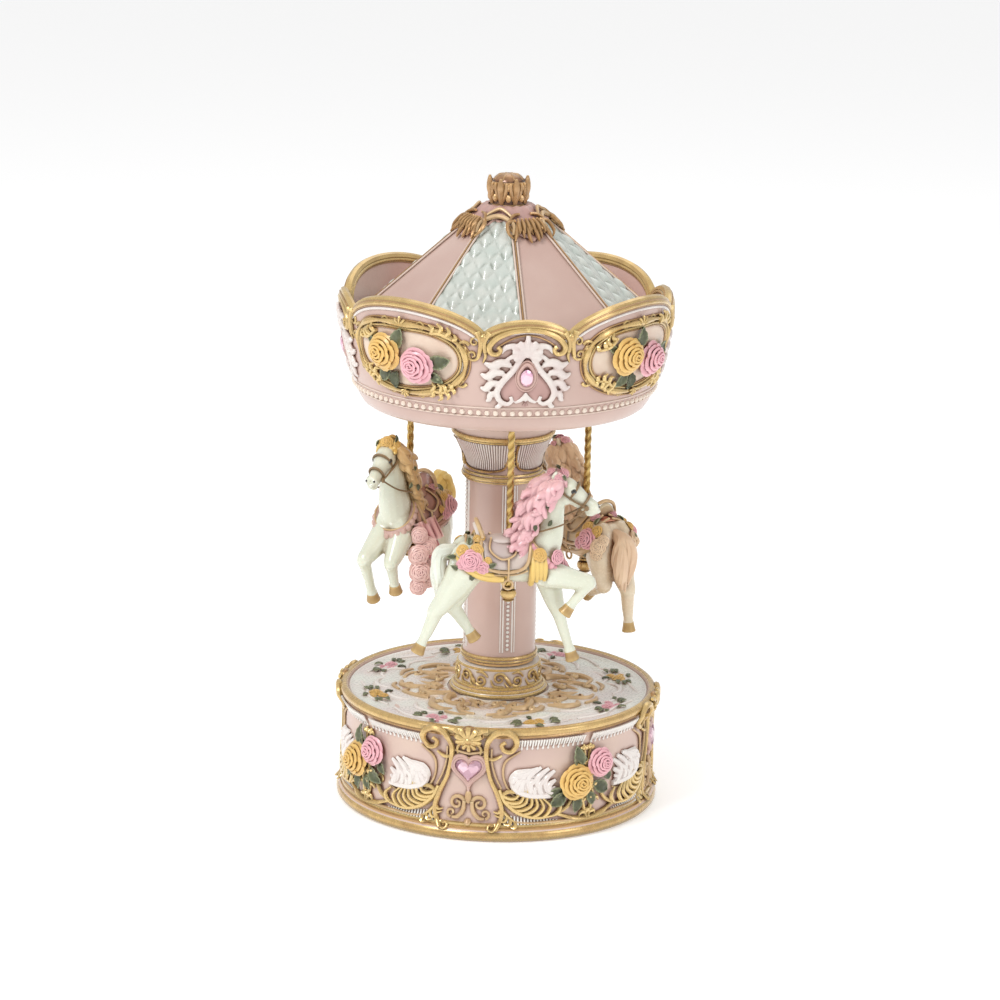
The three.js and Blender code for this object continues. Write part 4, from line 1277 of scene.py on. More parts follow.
        pinks, yellows, leaves = Clay(), Clay(), Clay()
        for k in range(8):
            middle = self.medallion_turn - 20 + 45 * k
            flower = pinks if k % 2 == 0 else yellows
            for reach, off, size in ((37.0, 0, 2.1), (35.4, 4.6, 1.5), (38.6, 4.2, 1.2)):
                squat = Matrix.Translation(
                    polar(reach, middle + off, top + 0.2)
                ) @ Matrix.Diagonal((1, 1, 0.55, 1))
                flower.add(rose(size, 20 * k), squat)
            for reach, off, turn in (
                (38.4, -4.4, -70), (36.2, -4.0, -110), (38.4, 8.4, 80), (35.8, 9.6, 100), (39.6, 1, 50),
                (34.4, 1, 190), (37.2, 9.4, 70), (37.4, -5.4, -90)
            ):
                leaves.add(
                    leaf(2.7, 1.3, middle + turn, 0.1),
                    Matrix.Translation(polar(reach, middle + off, top + 0.25))
                )
        pinks.fire("deck_pink_roses", self.body, Paint.PINK_ROSE)
        yellows.fire("deck_yellow_roses", self.body, Paint.YELLOW_ROSE)
        leaves.fire("deck_leaves", self.body, Paint.LEAF)

    def stones(self) -> None:
        """Cut hearts in place of the plain ones."""
        for i in range(FOLDS):
            cut = Clay()
            levels = ((3.95, 0.2), (3.95, 0.9), (2.9, 1.75), (1.7, 2.0))
            for half, z in levels:
                for x, y in heart_line(half, HEART_SIDES):
                    cut.bm.verts.new((x, y + HEART_Z, z))
            cut.bm.verts.ensure_lookup_table()
            rings = [cut.bm.verts[HEART_SIDES * k:HEART_SIDES * (k + 1)] for k in range(len(levels))]
            loops = [[cut.bm.edges.new((a, b)) for a, b in zip(ring, ring[1:] + ring[:1])] for ring in rings]
            for low, high in zip(loops, loops[1:]):
                bmesh.ops.bridge_loops(cut.bm, edges=low + high)
            for ring in (rings[0], rings[-1]):
                cut.bm.faces.new(ring)
            turn = self.medallion_turn + 90 * i
            DRUM.wrap(cut, turn).fire(f"cut_heart_{i + 1}", self.body, Paint.HEART, [f"heart_gem_{i + 1}"], 8)

    def screw_bosses(self) -> None:
        """Posts inside the drum that the cover's screws bite in."""
        posts = Clay()
        for angle in (60, 180, 300):
            post = Clay().lathe(
                [(1.1, 11.4), (3.2, 11.4), (3.4, 11.7), (3.4, 28.4), (4.2, 29.4), (1.1, 29.4)], 24, True
            )
            posts.add(post, Matrix.Translation(polar(38.0, angle)))
        posts.fire("screw_bosses", self.body, Paint.BLUSH)


# ------------------------------------------------------------------ column


@dataclass
class Column:
    """The fixed scrolled plinth and the turning column with its fluted capital."""

    turn: float = -77.0
    body: str = "carousel"

    def build(self) -> None:
        """Makes the plinth, the shaft and the capital."""
        self.plinth()
        self.shaft()
        self.capital()

    def plinth(self) -> None:
        """The cream drum on the deck with gilt rings and S scrolls."""
        Clay().lathe(
            [(7.0, 32.3), (13.9, 32.3), (14.1, 33.0), (13.6, 33.9), (12.8, 34.6), (12.2, 35.6), (12.0, 36.6),
             (12.0, 39.4), (12.2, 40.2), (11.8, 41.0), (7.0, 41.0)], 96, True,
        ).fire("column_plinth_body", "base", Paint.WHITE, ["column_plinth"])
        rings = Clay().lathe(
            [(13.6, 32.4), (14.3, 32.6), (14.4, 33.1), (14.0, 33.5), (13.4, 33.5), (13.3, 32.7)], 96, True
        )
        rings.lathe([(12.9, 33.6), (13.7, 33.7), (13.8, 34.2), (13.2, 34.6), (12.7, 34.3)], 96, True)
        rings.lathe([(12.0, 34.6), (12.9, 34.7), (12.9, 35.2), (12.4, 35.5), (11.9, 35.2)], 96, True)
        rings.lathe([(11.7, 40.2), (12.3, 40.3), (12.4, 40.7), (12.0, 40.95), (11.6, 40.8)], 96, True)
        rings.fire("plinth_gilt_rings", "base", Paint.GILT)
        skin = Turned(((34.6, 12.3), (36.6, 12.0), (40.2, 12.1)), reference=12.0)
        scrolls = Clay().strands([
            volute(-2.4, 38.1, 1.75, 20, 1.3, 0.48, 0.35),
            flowing([(-0.7, 38.7, 0.1, 0.48), (0.3, 37.3, 0.3, 0.58), (1.1, 36.0, 0.1, 0.45)]),
            volute(2.8, 37.3, 1.7, 215, 1.3, 0.48, 0.35),
            flowing([(-4.9, 37.6, 0, 0.25), (-3.9, 35.9, 0.2, 0.42), (-1.0, 35.7, 0, 0.25)], 4),
            flowing([(1.4, 39.6, 0, 0.25), (3.4, 39.9, 0.2, 0.4), (5.0, 38.4, 0, 0.25)], 4),
            flowing([(-0.9, 36.9, 0, 0.2), (-0.2, 35.9, 0.2, 0.34), (0.5, 35.5, 0, 0.2)], 4),
        ])
        skin.wrap(scrolls, self.turn).around(7).fire("plinth_scrolls", "base", Paint.GILT)

    def shaft(self) -> None:
        """The pink shaft with four pearled bands."""
        rows = [
            (5.3, 42.2), (10.8, 42.2), (11.0, 42.8), (11.0, 43.6), (10.6, 44.4), (10.4, 45.2), (10.4, 70.0),
            (10.4, 95.4), (10.9, 96.2), (11.5, 97.0), (11.5, 98.6), (11.1, 99.4), (11.2, 101.5),
            (11.6, 104.0), (12.7, 106.6), (14.1, 108.6), (14.3, 111.2), (14.4, 118.4), (5.3, 118.4)
        ]
        Clay().lathe(rows, 96, True).fire("column_shaft", self.body, Paint.PINK, ["column"])
        skin = Turned(((45.0, 10.4), (96.0, 10.4)), reference=10.4)
        band = Clay()
        band.add(beads([(0, 46.6 + 1.3 * i, 0.15, 0) for i in range(38)], 0.5))
        band.strands([
            [(side, 45.6, 0, width), (side, 95.6, 0, width)] for side,
            width in ((-1.35, 0.22), (1.35, 0.22), (-2.1, 0.16), (2.1, 0.16))
        ])
        skin.wrap(band, self.turn).around().fire("shaft_pearled_bands", self.body, Paint.WHITE)

    def capital(self) -> None:
        """White flutes between gilt scrolls, with gilt rings above and below."""
        skin = Turned(
            ((98.4, 11.5), (99.4, 11.1), (101.5, 11.2), (104.0, 11.6), (106.6, 12.7), (108.6, 14.1)), 11.6
        )
        flutes = Clay()
        for i in range(24):
            at = -7.4 + 14.8 * i / 23
            low = 100.4 + 0.9 * (abs(at) / 7.4) ** 4
            flutes.strands(
                [[(at, low, 0.05, 0.22), (at, 103.0, 0.1, 0.3), (at * 1.03, 108.4, 0.1, 0.3)]], sides=1
            )
        skin.wrap(flutes, self.turn + 45).around().fire("capital_flutes", self.body, Paint.WHITE)
        gilt = Clay().strands([
            flowing(
                [
                    (-8.0, 108.4, 0.3, 0.4), (-7.9, 104.0, 0.3, 0.3), (-6.9, 100.9, 0.3, 0.36),
                    (-3.6, 99.9, 0.3, 0.3), (0.0, 99.7, 0.4, 0.42), (3.6, 99.9, 0.3, 0.3),
                    (6.9, 100.9, 0.3, 0.36), (7.9, 104.0, 0.3, 0.3), (8.0, 108.4, 0.3, 0.4)
                ],
                6
            )
        ])
        for hand in (1, -1):
            gilt.strands([
                volute(8.0 * hand, 102.6, 1.0, 90 + 90 * hand, 1.0 * hand, 0.3, 0.4),
                volute(8.4 * hand, 105.0, 0.9, 90, -1.0 * hand, 0.28, 0.4),
            ])
        gilt.ball((9.1, 101.0, 0.3), (0.5, 1.1, 0.45))
        skin.wrap(gilt, self.turn + 45).around().fire("capital_gilt_lines", self.body, Paint.GILT)
        rings = Clay()
        for radius, z, thick in (
            (10.9, 42.7, 0.4), (10.8, 43.7, 0.55), (10.9, 96.4, 0.36), (11.4, 97.4, 0.66), (11.3, 98.6, 0.4),
            (14.1, 108.9, 0.4), (14.5, 109.8, 0.62)
        ):
            rings.level_ring(radius, z, thick)
        rings.fire("column_gilt_rings", self.body, Paint.GILT)


# ------------------------------------------------------------------ canopy


@dataclass
class Canopy:
    """The scalloped rounding board, with its gilt rim, rose cartouches and stones."""

    narrow_turn: float = -82.5
    broad_turn: float = -37.5
    narrow_half: float = 15.0
    broad_half: float = 30.0
    dip: float = 146.6
    narrow_peak: float = 151.4
    broad_peak: float = 155.0
    body: str = "carousel"

    def build(self) -> None:
        """Makes every piece of the canopy's wall."""
        self.wall()
        self.rim()
        self.cartouches()
        self.crests()
        self.beading()
        self.ceiling()

    def lay(self, relief: Clay, turn: float, name: str, paint: Paint) -> None:
        """Lays flat relief on the wall, four times round, as one piece.

        Args:
            relief: the relief, with x = 0 in its middle.
            turn: the angle of the first copy's middle.
            name: the piece's name.
            paint: its finish.
        """
        BOWL.wrap(relief, turn).around().fire(name, self.body, paint)

    def top(self, degrees: float) -> float:
        """Height of the scalloped edge.

        Args:
            degrees: angle from the middle of a narrow scallop.

        Returns:
            The height there.
        """
        off = abs((degrees + 45) % 90 - 45)
        share, peak = (off / self.narrow_half, self.narrow_peak) if off <= self.narrow_half else (
            (45 - off) / self.broad_half, self.broad_peak)
        return self.dip + (peak - self.dip) * max(0.0, 1 - share * share) ** 0.6

    def wall(self) -> None:
        """The bowl-shaped wall, drawn up into scallops."""
        low, high = 128.8, 155.0
        rows = [(38.9, 118.7), (39.8, 118.7), (40.9, 119.5), (42.0, 121.2), (42.9, 123.4), (43.6, 125.2),
                (44.1, 127.0), (44.6, low)]
        outside = [
            (between(BOWL.rows, low + (high - low) * i / 12), low + (high - low) * i / 12)
            for i in range(1, 13)
        ]
        inside = [(r - 2.2, z) for r, z in reversed(outside)]
        made = Clay().lathe([*rows, *outside, *inside, (42.4, low), (40.8, 124.0), (38.9, 121.4)], 240, True)
        for vert in made.bm.verts:
            if vert.co.z > low:
                angle = math.degrees(math.atan2(vert.co.y, vert.co.x)) - self.narrow_turn
                share = (vert.co.z - low) / (high - low)
                within = between(BOWL.rows, vert.co.z) - vert.co.xy.length
                height = low + share * (self.top(angle) - 0.6 - low)
                reach = (between(BOWL.rows, height) - within) / vert.co.xy.length
                vert.co = (vert.co.x * reach, vert.co.y * reach, height)
        wall = made.fire("canopy_wall", self.body, Paint.PINK, ["rounding_board"])
        # Inner faces take the lining paint, painted lighter to offset their shade.
        wall.data.materials.append(Paint.LIT_LINING.value.material())
        for face in wall.data.polygons:
            middle = face.center / MM
            if middle.z > low and middle.xy.length < between(BOWL.rows, middle.z) - 2.0:
                face.material_index = 1

    def edge(self, below: float, out: float, width: float) -> Clay:
        """One strand that follows all the scallops.

        Args:
            below: how far under the edge it runs.
            out: how far it stands out from the wall.
            width: its half thickness.

        Returns:
            The strand, right round.
        """
        lines = []
        for first, last in ((-15.0, 15.0), (15.0, 75.0)):
            count = int(last - first)
            line = []
            for i in range(count + 1):
                at = first + (last - first) * i / count
                line.append((math.radians(at) * BOWL.reference, self.top(at) - below, out, width))
            lines.append(line)
        return BOWL.wrap(Clay().strands(lines), self.narrow_turn).around()

    def rim(self) -> None:
        """The gilt moulding along the scallops, with dark lines and pale borders."""
        gilt = self.edge(0.75, -1.1, 1.25).add(self.edge(1.5, 0.0, 0.62)).add(self.edge(1.5, -2.15, 0.5))
        corners = mirror_pair(
            Clay().strands([
                flowing(
                    [
                        (0.0, 149.2, 0.1, 0.85), (4.4, 148.6, 0.2, 0.85), (8.2, 146.8, 0.3, 0.9),
                        (10.2, 144.4, 0.5, 0.9), (9.8, 142.6, 0.6, 0.8), (8.2, 142.2, 0.6, 0.7),
                        (7.2, 143.4, 0.7, 0.6), (8.0, 144.4, 0.9, 0.62)
                    ],
                    6
                ),
                flowing([(10.2, 148.2, 0.2, 0.8), (11.6, 145.6, 0.4, 0.75), (11.4, 142.6, 0.5, 0.6)]),
                flowing([
                    (13.6, 148.4, 0.2, 0.8), (12.6, 145.6, 0.5, 0.75), (12.8, 143.0, 0.5, 0.65),
                    (13.2, 141.2, 0.4, 0.55)
                ]),
                volute(14.9, 141.6, 1.7, 190, 1.2, 0.5, 0.4), volute(14.3, 145.4, 1.3, 120, -1.1, 0.42, 0.5),
                flowing([(11.8, 143.6, 0.3, 0.4), (11.3, 141.6, 0.4, 0.45), (12.0, 139.6, 0.2, 0.2)])
            ])
        )
        corners.ball((12.0, 146.4, 0.4), (1.1, 1.5, 0.9))
        corners.ball((-12.0, 146.4, 0.4), (1.1, 1.5, 0.9))
        gilt.add(BOWL.wrap(corners, self.narrow_turn).around())
        gilt.fire("canopy_gilt_rim", self.body, Paint.GILT)
        arch = [(x, 147.6 - 0.055 * x * x, 0.35, 0.24) for x in range(-8, 9)]
        gilt_line = BOWL.wrap(Clay().strands([arch]), self.narrow_turn).around()
        dark = self.edge(0.85, 0.2, 0.26).add(gilt_line).add(
            self.edge(2.15, 0.05, 0.26)
        ).add(self.edge(2.2, -2.2, 0.25))
        dark.fire("canopy_dark_lines", self.body, Paint.DARK_GILT)
        self.edge(3.0, 0.0, 0.42).fire("canopy_pale_border", self.body, Paint.WHITE)

    def oval(self, half: float, high: float, out: float, width: float, ripple: float) -> list[Knot]:
        """One oval line round a cartouche.

        Args:
            half: half its length.
            high: half its height.
            out: how far it stands out.
            width: half thickness.
            ripple: how much its thickness swells along it.

        Returns:
            The closed line.
        """
        line = []
        for i in range(96):
            t = math.tau * i / 96
            x = half * math.copysign(abs(math.cos(t)) ** 0.85, math.cos(t))
            y = high * math.copysign(abs(math.sin(t)) ** 0.9, math.sin(t))
            line.append((x, OVAL_Z + y + 0.05 * abs(x), out, width * (1 + ripple * math.sin(9 * t))))
        return line

    def cartouches(self) -> None:
        """Gilt oval scroll frames round cream grounds, each with two roses."""

        def ground(u: float, v: float) -> tuple[float, float, float]:
            """One point of the cream ground."""
            reach = math.sqrt(max(0.0, 1 - v * v * 0.96))
            return (18.6 * u * reach, 138.6 + 9.2 * v, 0.22)

        field_clay = Clay().sheet(24, 12, ground, 0.3)
        self.lay(field_clay, self.broad_turn, "cartouche_grounds", Paint.CREAM)
        gilt = Clay().strands([self.oval(19.4, 9.9, 0.4, 0.8, 0.3)], ring=True)
        gilt.strands([self.oval(18.0, 8.7, 0.5, 0.36, 0.1)], ring=True)
        for hand in (1, -1):
            gilt.add(
                placed(
                    frond(
                        [(0, 0, 0.6, 0.6), (3.0, 1.4, 0.8, 0.7), (6.6, 1.2, 0.6, 0.4)], 4, 2.9, 52, hand, 0.42
                    ),
                    9.5 * hand, 146.0 + 0.9 * hand, 0.1, -24 if hand > 0 else 196
                )
            )
            gilt.add(
                placed(
                    frond(
                        [(0, 0, 0.6, 0.6), (3.2, -1.2, 0.8, 0.6), (6.4, -0.6, 0.5, 0.35)], 4, 2.6, 50, 0, 0.4
                    ),
                    9.0 * hand, 130.4, 0.2, 14 if hand > 0 else 160
                )
            )
            gilt.strands([
                volute(18.6 * hand, 143.4, 2.0, 90 - 60 * hand, 1.15 * hand, 0.55, 0.4),
                volute(17.8 * hand, 133.6, 1.7, -90 + 70 * hand, -1.1 * hand, 0.5, 0.4),
                volute(6.2 * hand, 148.2, 1.4, 90 + 60 * hand, -1.1 * hand, 0.42, 0.4),
                volute(5.4 * hand, 128.8, 1.2, -90 - 60 * hand, 1.1 * hand, 0.4, 0.3),
            ])
        gilt.add(placed(fan(5, 2.8, 120, 0.42), 0, 147.6, 0.4))
        gilt.add(placed(fan(5, 2.2, 110, 0.36, -90), 0, 129.4, 0.4))
        self.lay(gilt, self.broad_turn, "cartouche_frames", Paint.GILT)
        line = Clay().strands([self.oval(20.6, 11.0, 0.1, 0.3, 0.1)], ring=True)
        line.strands([self.oval(17.3, 8.1, 0.4, 0.24, 0.0)], ring=True)
        self.lay(line, self.broad_turn, "cartouche_dark_lines", Paint.DARK_GILT)

        yellow = placed(rose(5.3, 30, 4), -5.6, 139.4, 0.35)
        pink = placed(rose(5.0, 8, 4), 5.2, 137.0, 0.45)
        leaves = Clay()
        for x, y, length, width, turn in (
            (-1.4, 141.2, 6.2, 4.2, 74), (9.0, 138.2, 6.4, 4.4, 14), (-4.6, 134.8, 5.6, 3.6, 226),
            (-2.4, 134.4, 5.2, 3.6, 262), (9.0, 135.4, 4.6, 2.8, -34), (-9.6, 141.4, 3.4, 2.2, 150),
        ):
            leaves.add(placed(leaf(length, width, turn), x, y, 0.3))
        for clay, name, paint in (
            (yellow, "canopy_yellow_roses", Paint.YELLOW_ROSE), (pink, "canopy_pink_roses", Paint.PINK_ROSE),
            (leaves, "canopy_rose_leaves", Paint.LEAF)
        ):
            self.lay(clay, self.broad_turn, name, paint)

    def crests(self) -> None:
        """White shells and scrolls round a rose spade with a set stone, under each narrow scallop."""

        def spade(u: float, v: float) -> tuple[float, float, float]:
            """One point of the rose ground: narrow at its top, and two lobes below."""
            y = 128.0 + 6.5 * (v + 1)
            half = between(
                ((128.0, 3.6), (129.2, 6.4), (131.6, 7.4), (134.4, 5.6), (138.0, 2.6), (141.0, 0.3)), y
            )
            dip = 2.4 * max(0.0, -v) ** 6 * max(0.0, 1 - 2.2 * abs(u))
            return (half * u, y + dip, 0.2 + 0.45 * math.sin(math.pi * abs(u)) ** 2)

        self.lay(Clay().sheet(16, 16, spade, 0.3), self.narrow_turn, "crest_rose_grounds", Paint.MAUVE)
        white = Clay()
        white.add(
            mirror_pair(
                Clay().strands([
                    flowing(
                        [
                            (0.3, 142.6, 0.5, 0.6), (1.8, 140.8, 0.6, 0.85), (3.7, 137.6, 0.6, 0.9),
                            (6.6, 134.2, 0.6, 1.0), (8.1, 131.2, 0.6, 0.95), (7.2, 128.6, 0.6, 0.85),
                            (5.2, 127.7, 0.6, 0.7), (3.9, 128.6, 0.6, 0.6), (4.3, 130.0, 0.8, 0.6)
                        ],
                        6
                    ),
                    flowing([(0.0, 130.6, 0.4, 0.5), (1.4, 128.9, 0.5, 0.65), (3.0, 128.2, 0.4, 0.5)]),
                    flowing([
                        (0.6, 142.8, 0.5, 0.5), (3.0, 144.6, 0.7, 0.9), (5.8, 144.2, 0.6, 0.8),
                        (7.0, 142.4, 0.4, 0.4)
                    ]),
                    flowing([
                        (0.8, 141.6, 0.5, 0.4), (3.4, 141.9, 0.7, 0.7), (5.6, 140.4, 0.6, 0.6),
                        (5.8, 138.6, 0.4, 0.3)
                    ]),
                    flowing([
                        (4.4, 139.0, 0.4, 0.8), (7.0, 139.8, 0.6, 1.3), (9.4, 138.8, 0.6, 1.2),
                        (11.6, 139.6, 0.3, 0.5)
                    ]),
                    flowing([
                        (6.2, 136.6, 0.4, 0.8), (8.6, 137.0, 0.6, 1.25), (10.8, 135.6, 0.6, 1.1),
                        (12.6, 136.4, 0.3, 0.45)
                    ]),
                    flowing([
                        (7.8, 133.8, 0.4, 0.8), (9.8, 133.6, 0.6, 1.15), (11.2, 132.0, 0.5, 1.0),
                        (12.8, 132.4, 0.3, 0.4)
                    ]),
                    flowing([
                        (8.2, 131.0, 0.4, 0.6), (9.8, 130.4, 0.5, 1.0), (10.4, 128.8, 0.4, 0.75),
                        (11.4, 128.4, 0.2, 0.3)
                    ]),
                    flowing([(6.8, 128.2, 0.4, 0.6), (7.6, 126.9, 0.4, 0.8), (8.8, 126.7, 0.2, 0.35)])
                ])
            )
        )
        white.add(placed(fan(7, 4.7, 180, 1.0), 0, 141.8, 0.3))
        white.add(placed(fan(3, 5.0, 46, 0.75), 0, 142.8, 0.6))
        white.ball((0, 142.4, 0.8), (1.3, 1.2, 0.9), fine=12)
        white.ball((0, 129.8, 0.4), (0.8, 1.5, 0.7), fine=10)
        white.flatten(0.85)
        white.merged(0.26, 3)
        self.lay(white, self.narrow_turn, "crest_white_scrolls", Paint.WHITE)
        setting = Clay()
        for half, high, out, width in ((2.2, 2.95, 0.6, 0.6), (2.9, 3.9, 0.4, 0.36)):
            setting.strands(
                [[
                    (
                        half * math.sin(t / 20 * math.pi),
                        135.5 + high * math.cos(t / 20 * math.pi) + 0.9 * max(
                            0, math.cos(t / 20 * math.pi)
                        ) ** 4,
                        out, width
                    )
                    for t in range(40)
                ]],
                ring=True
            )
        self.lay(setting, self.narrow_turn, "stone_settings", Paint.MAUVE)

    def beading(self) -> None:
        """The row of pearls and its two fillets under the wall's reliefs."""
        row = Clay()
        for i in range(PEARLS):
            row.ball(polar(43.4, 360 * i / PEARLS, 124.7), (0.8, 0.8, 0.85), fine=7)
        for radius, z, thick in ((43.0, 123.5, 0.26), (43.9, 126.2, 0.24)):
            row.level_ring(radius, z, thick, 144)
        row.fire("canopy_pearl_row", self.body, Paint.BLUSH)

    def ceiling(self) -> None:
        """Rings and leaves under the canopy."""
        under = Clay()
        for radius, thick in ((17.6, 0.5), (37.2, 0.55), (35.8, 0.3)):
            under.level_ring(radius, CEILING_Z, thick)
        for k in range(8):
            spray = frond(
                [(0, 18.4, 0, 0.5), (0, 22.5, 0, 0.5), (0, 26.4, 0, 0.25)], 4, 3.4, 50, 0, 0.36
            ).flatten(0.6)
            turn = Matrix.Translation((0, 0, CEILING_Z)) @ spun(11.9 + 45 * k)
            under.add(spray, turn)
        under.fire("ceiling_relief", self.body, Paint.GILT)


# ------------------------------------------------------------------ roof


@dataclass
class Roof:
    """Eight roof panels, pink satin and white quilting in turn, with seams, a draped collar and the crown."""

    seam_turn: float = -82.5
    eave: tuple[float, float] = (44.9, 143.2)
    ridge: tuple[float, float] = (11.2, 172.1)
    peak: float = 184.95
    apex_radius: float = 7.0
    slope_length: float = 48.0
    quilt_depth: float = 0.8
    quilt_pitch: float = 2.3
    quilt_slant: float = 0.62
    collar_bore: float = 3.4
    crown_stretch: float = 1.2
    body: str = "carousel"

    def build(self) -> None:
        """Makes the panels, the seams, the collar and the crown."""
        self.panels()
        self.seams()
        self.collar()
        self.crown()

    def height(self, x: float, y: float) -> float:
        """Height of the eight-sided roof over a point."""
        angle = (math.degrees(math.atan2(y, x)) - self.seam_turn) % PANEL_ANGLE - HALF_PANEL
        across = math.hypot(x, y) * math.cos(math.radians(angle)) / math.cos(math.radians(HALF_PANEL))
        fall = (self.ridge[1] - self.eave[1]) / (self.eave[0] - self.ridge[0])
        return self.eave[1] + (self.eave[0] - across) * fall

    def slope(self, angle: float) -> Matrix:
        """The frame of the slope at an angle: y runs down it from over the axis, and z stands off it."""
        squeeze = math.cos(math.radians(HALF_PANEL))
        run, drop = (self.eave[0] - self.ridge[0]) * squeeze, self.ridge[1] - self.eave[1]
        out = polar(1.0, angle)
        down = (out * run - Vector((0, 0, drop))).normalized()
        across = -polar(1.0, angle + 90)
        off = across.cross(down)
        made = Matrix((across, down, off)).transposed().to_4x4()
        return Matrix.Translation((0, 0, self.height(0.0, 0.0))) @ made

    def panel(self, index: int, quilt: float) -> Clay:
        """One roof panel.

        Args:
            index: which of the eight.
            quilt: depth of its quilting, and 0 for satin.

        Returns:
            The panel.
        """
        first = self.seam_turn + PANEL_ANGLE * index
        off = self.slope(first + HALF_PANEL).to_3x3() @ Vector((0, 0, 1))

        def place(u: float, v: float) -> Vector:
            """One point of the panel, from its eave up."""
            share = (v + 1) / 2
            radius = self.eave[0] + (self.apex_radius - self.eave[0]) * share
            left, right = polar(radius, first), polar(radius, first + PANEL_ANGLE)
            spot = left.lerp(right, (u + 1) / 2)
            width = (right - left).length
            along = share * self.slope_length * self.quilt_slant
            a = (u * width / 2 + along) / self.quilt_pitch
            b = (u * width / 2 - along) / self.quilt_pitch
            puff = quilt * (abs(math.sin(a * math.pi / 2)) * abs(math.sin(b * math.pi / 2))) ** 0.7
            puff += 0.35 * quilt * math.sin(b * math.pi / 2) * abs(math.sin(a * math.pi / 2))
            fade = min(1.0, (1 - abs(u)) * width / 2.6)
            spot.z = self.height(spot.x, spot.y)
            return spot + off * (puff * fade - 0.42)

        cells = (66, 96) if quilt else (12, 16)
        return Clay().sheet(*cells, place, 1.2)

    def panels(self) -> None:
        """Pink panels and quilted white panels in turn."""
        pink, white = Clay(), Clay()
        for index in range(PANELS):
            if index % 2:
                white.add(self.panel(index, self.quilt_depth))
            else:
                pink.add(self.panel(index, 0.0))
        pink.fire("roof_pink_panels", self.body, Paint.PINK, ["canopy_roof"])
        white.fire("roof_quilted_panels", self.body, Paint.SATIN)

    def seams(self) -> None:
        """A dark gilt cord on each seam, with a pale edging on both sides and a fillet along the eaves."""
        cords, edging = [], []
        for index in range(PANELS):
            angle = self.seam_turn + PANEL_ANGLE * index
            for lines, side, width, lift in (
                (cords, 0.0, 0.22, 0.1), (edging, 0.55, 0.32, -0.1), (edging, -0.55, 0.32, -0.1)
            ):
                line = []
                for i in range(13):
                    radius = 44.2 + (8.0 - 44.2) * i / 12
                    spot = polar(radius, angle) + polar(side, angle + 90)
                    line.append((spot.x, spot.y, self.height(spot.x, spot.y) + lift, width))
                lines.append(line)
            ends = [polar(43.9, angle), polar(43.9, angle + PANEL_ANGLE)]
            edging.append([(*spot.xy, 143.9, 0.6) for spot in ends])
        Clay().strands(cords).fire("roof_seam_cords", self.body, Paint.DARK_GILT)
        Clay().strands(edging).fire("roof_seam_edging", self.body, Paint.BLUSH)

    def collar(self) -> None:
        """The draped collar: low with gilt tassels over the pink panels, and arched over the white ones."""
        bore = self.collar_bore
        rows = [(bore, 176.0), (5.6, 176.0)]
        skirt = Clay().lathe(
            [*rows, *[(6.4 + 0.9 * i, 170.0) for i in range(10)], (14.0, 168.0), (bore, 168.0)], 144, True
        )
        for vert in skirt.bm.verts:
            reach = vert.co.xy.length
            if vert.co.z > 175:
                continue
            angle = math.degrees(math.atan2(vert.co.y, vert.co.x))
            drape = math.cos(math.radians(4 * (angle + 60)))
            hem = 12.4 + 2.4 * drape + 0.35 * math.cos(math.radians(24 * angle))
            share = (reach - bore) / 11.1
            if vert.co.z > 169:
                wide = bore + share * (hem - bore)
                vert.co.xy *= wide / reach
                fold = 0.35 * math.cos(math.radians(16 * angle)) * share
                vert.co.z = min(175.4, self.height(vert.co.x, vert.co.y)) + 1.05 - 0.5 * share + fold
            else:
                wide = hem - 0.1 if reach > 5 else reach
                vert.co.xy *= wide / reach
                vert.co.z = self.height(vert.co.x, vert.co.y) - (0.1 if reach > 5 else 8.0)
        skirt.fire("collar_drape", self.body, Paint.MAUVE, ["roof_collar"])
        tassels, arches = Clay(), Clay()
        for k in range(FOLDS):
            hung = Clay()
            drips = []
            for i in range(9):
                x = (i - 4) * 1.35
                low = 19.6 + 1.7 * math.cos(i * 2.4) - 0.05 * x * x
                drips.append(
                    flowing([
                        (x * 0.7, 13.2, 1.1, 0.4), (x * 0.95, 16.0, 1.1, 0.62),
                        (x * 1.12, low - 1.6, 0.8, 0.6), (x * 1.2 + 0.4 * math.sin(i), low, 0.5, 0.22)
                    ])
                )
            for i in range(6):
                x = (i - 2.5) * 1.7
                drips.append(
                    flowing([(x * 0.8, 12.4, 1.4, 0.4), (x, 15.2, 1.7, 0.66), (x * 1.1, 17.6, 1.2, 0.3)])
                )
            hung.strands(drips)
            hung.add(
                mirror_pair(
                    Clay().strands([
                        volute(5.6, 14.8, 1.7, -120, -1.2, 0.55, 0.5),
                        flowing([
                            (4.4, 12.6, 1.1, 0.5), (7.2, 13.4, 0.9, 0.66), (8.2, 16.6, 0.7, 0.55),
                            (7.2, 18.8, 0.5, 0.25)
                        ]),
                        flowing([(2.0, 10.4, 1.3, 0.4), (4.4, 10.8, 1.2, 0.55), (6.4, 12.6, 1.0, 0.4)])
                    ])
                )
            )
            hung.move(Matrix.Translation((0, 2.2, 0)) @ Matrix.Diagonal((0.9, 0.92, 1, 1)))
            tassels.add(hung, self.slope(-60 + 90 * k))
            arch = Clay().strands([
                flowing(
                    [
                        (-5.4, 18.4, 0.6, 0.4), (-4.6, 14.8, 1.0, 0.62), (0, 12.6, 1.3, 0.7),
                        (4.6, 14.8, 1.0, 0.62), (5.4, 18.4, 0.6, 0.4)
                    ],
                    6
                ),
                flowing([(-3.6, 12.4, 1.2, 0.4), (0, 10.2, 1.6, 0.5), (3.6, 12.4, 1.2, 0.4)])
            ])
            arches.add(arch, self.slope(-105 + 90 * k))
        tassels.fire("collar_tassels", self.body, Paint.DARK_GILT)
        arches.fire("collar_arches", self.body, Paint.TAN)

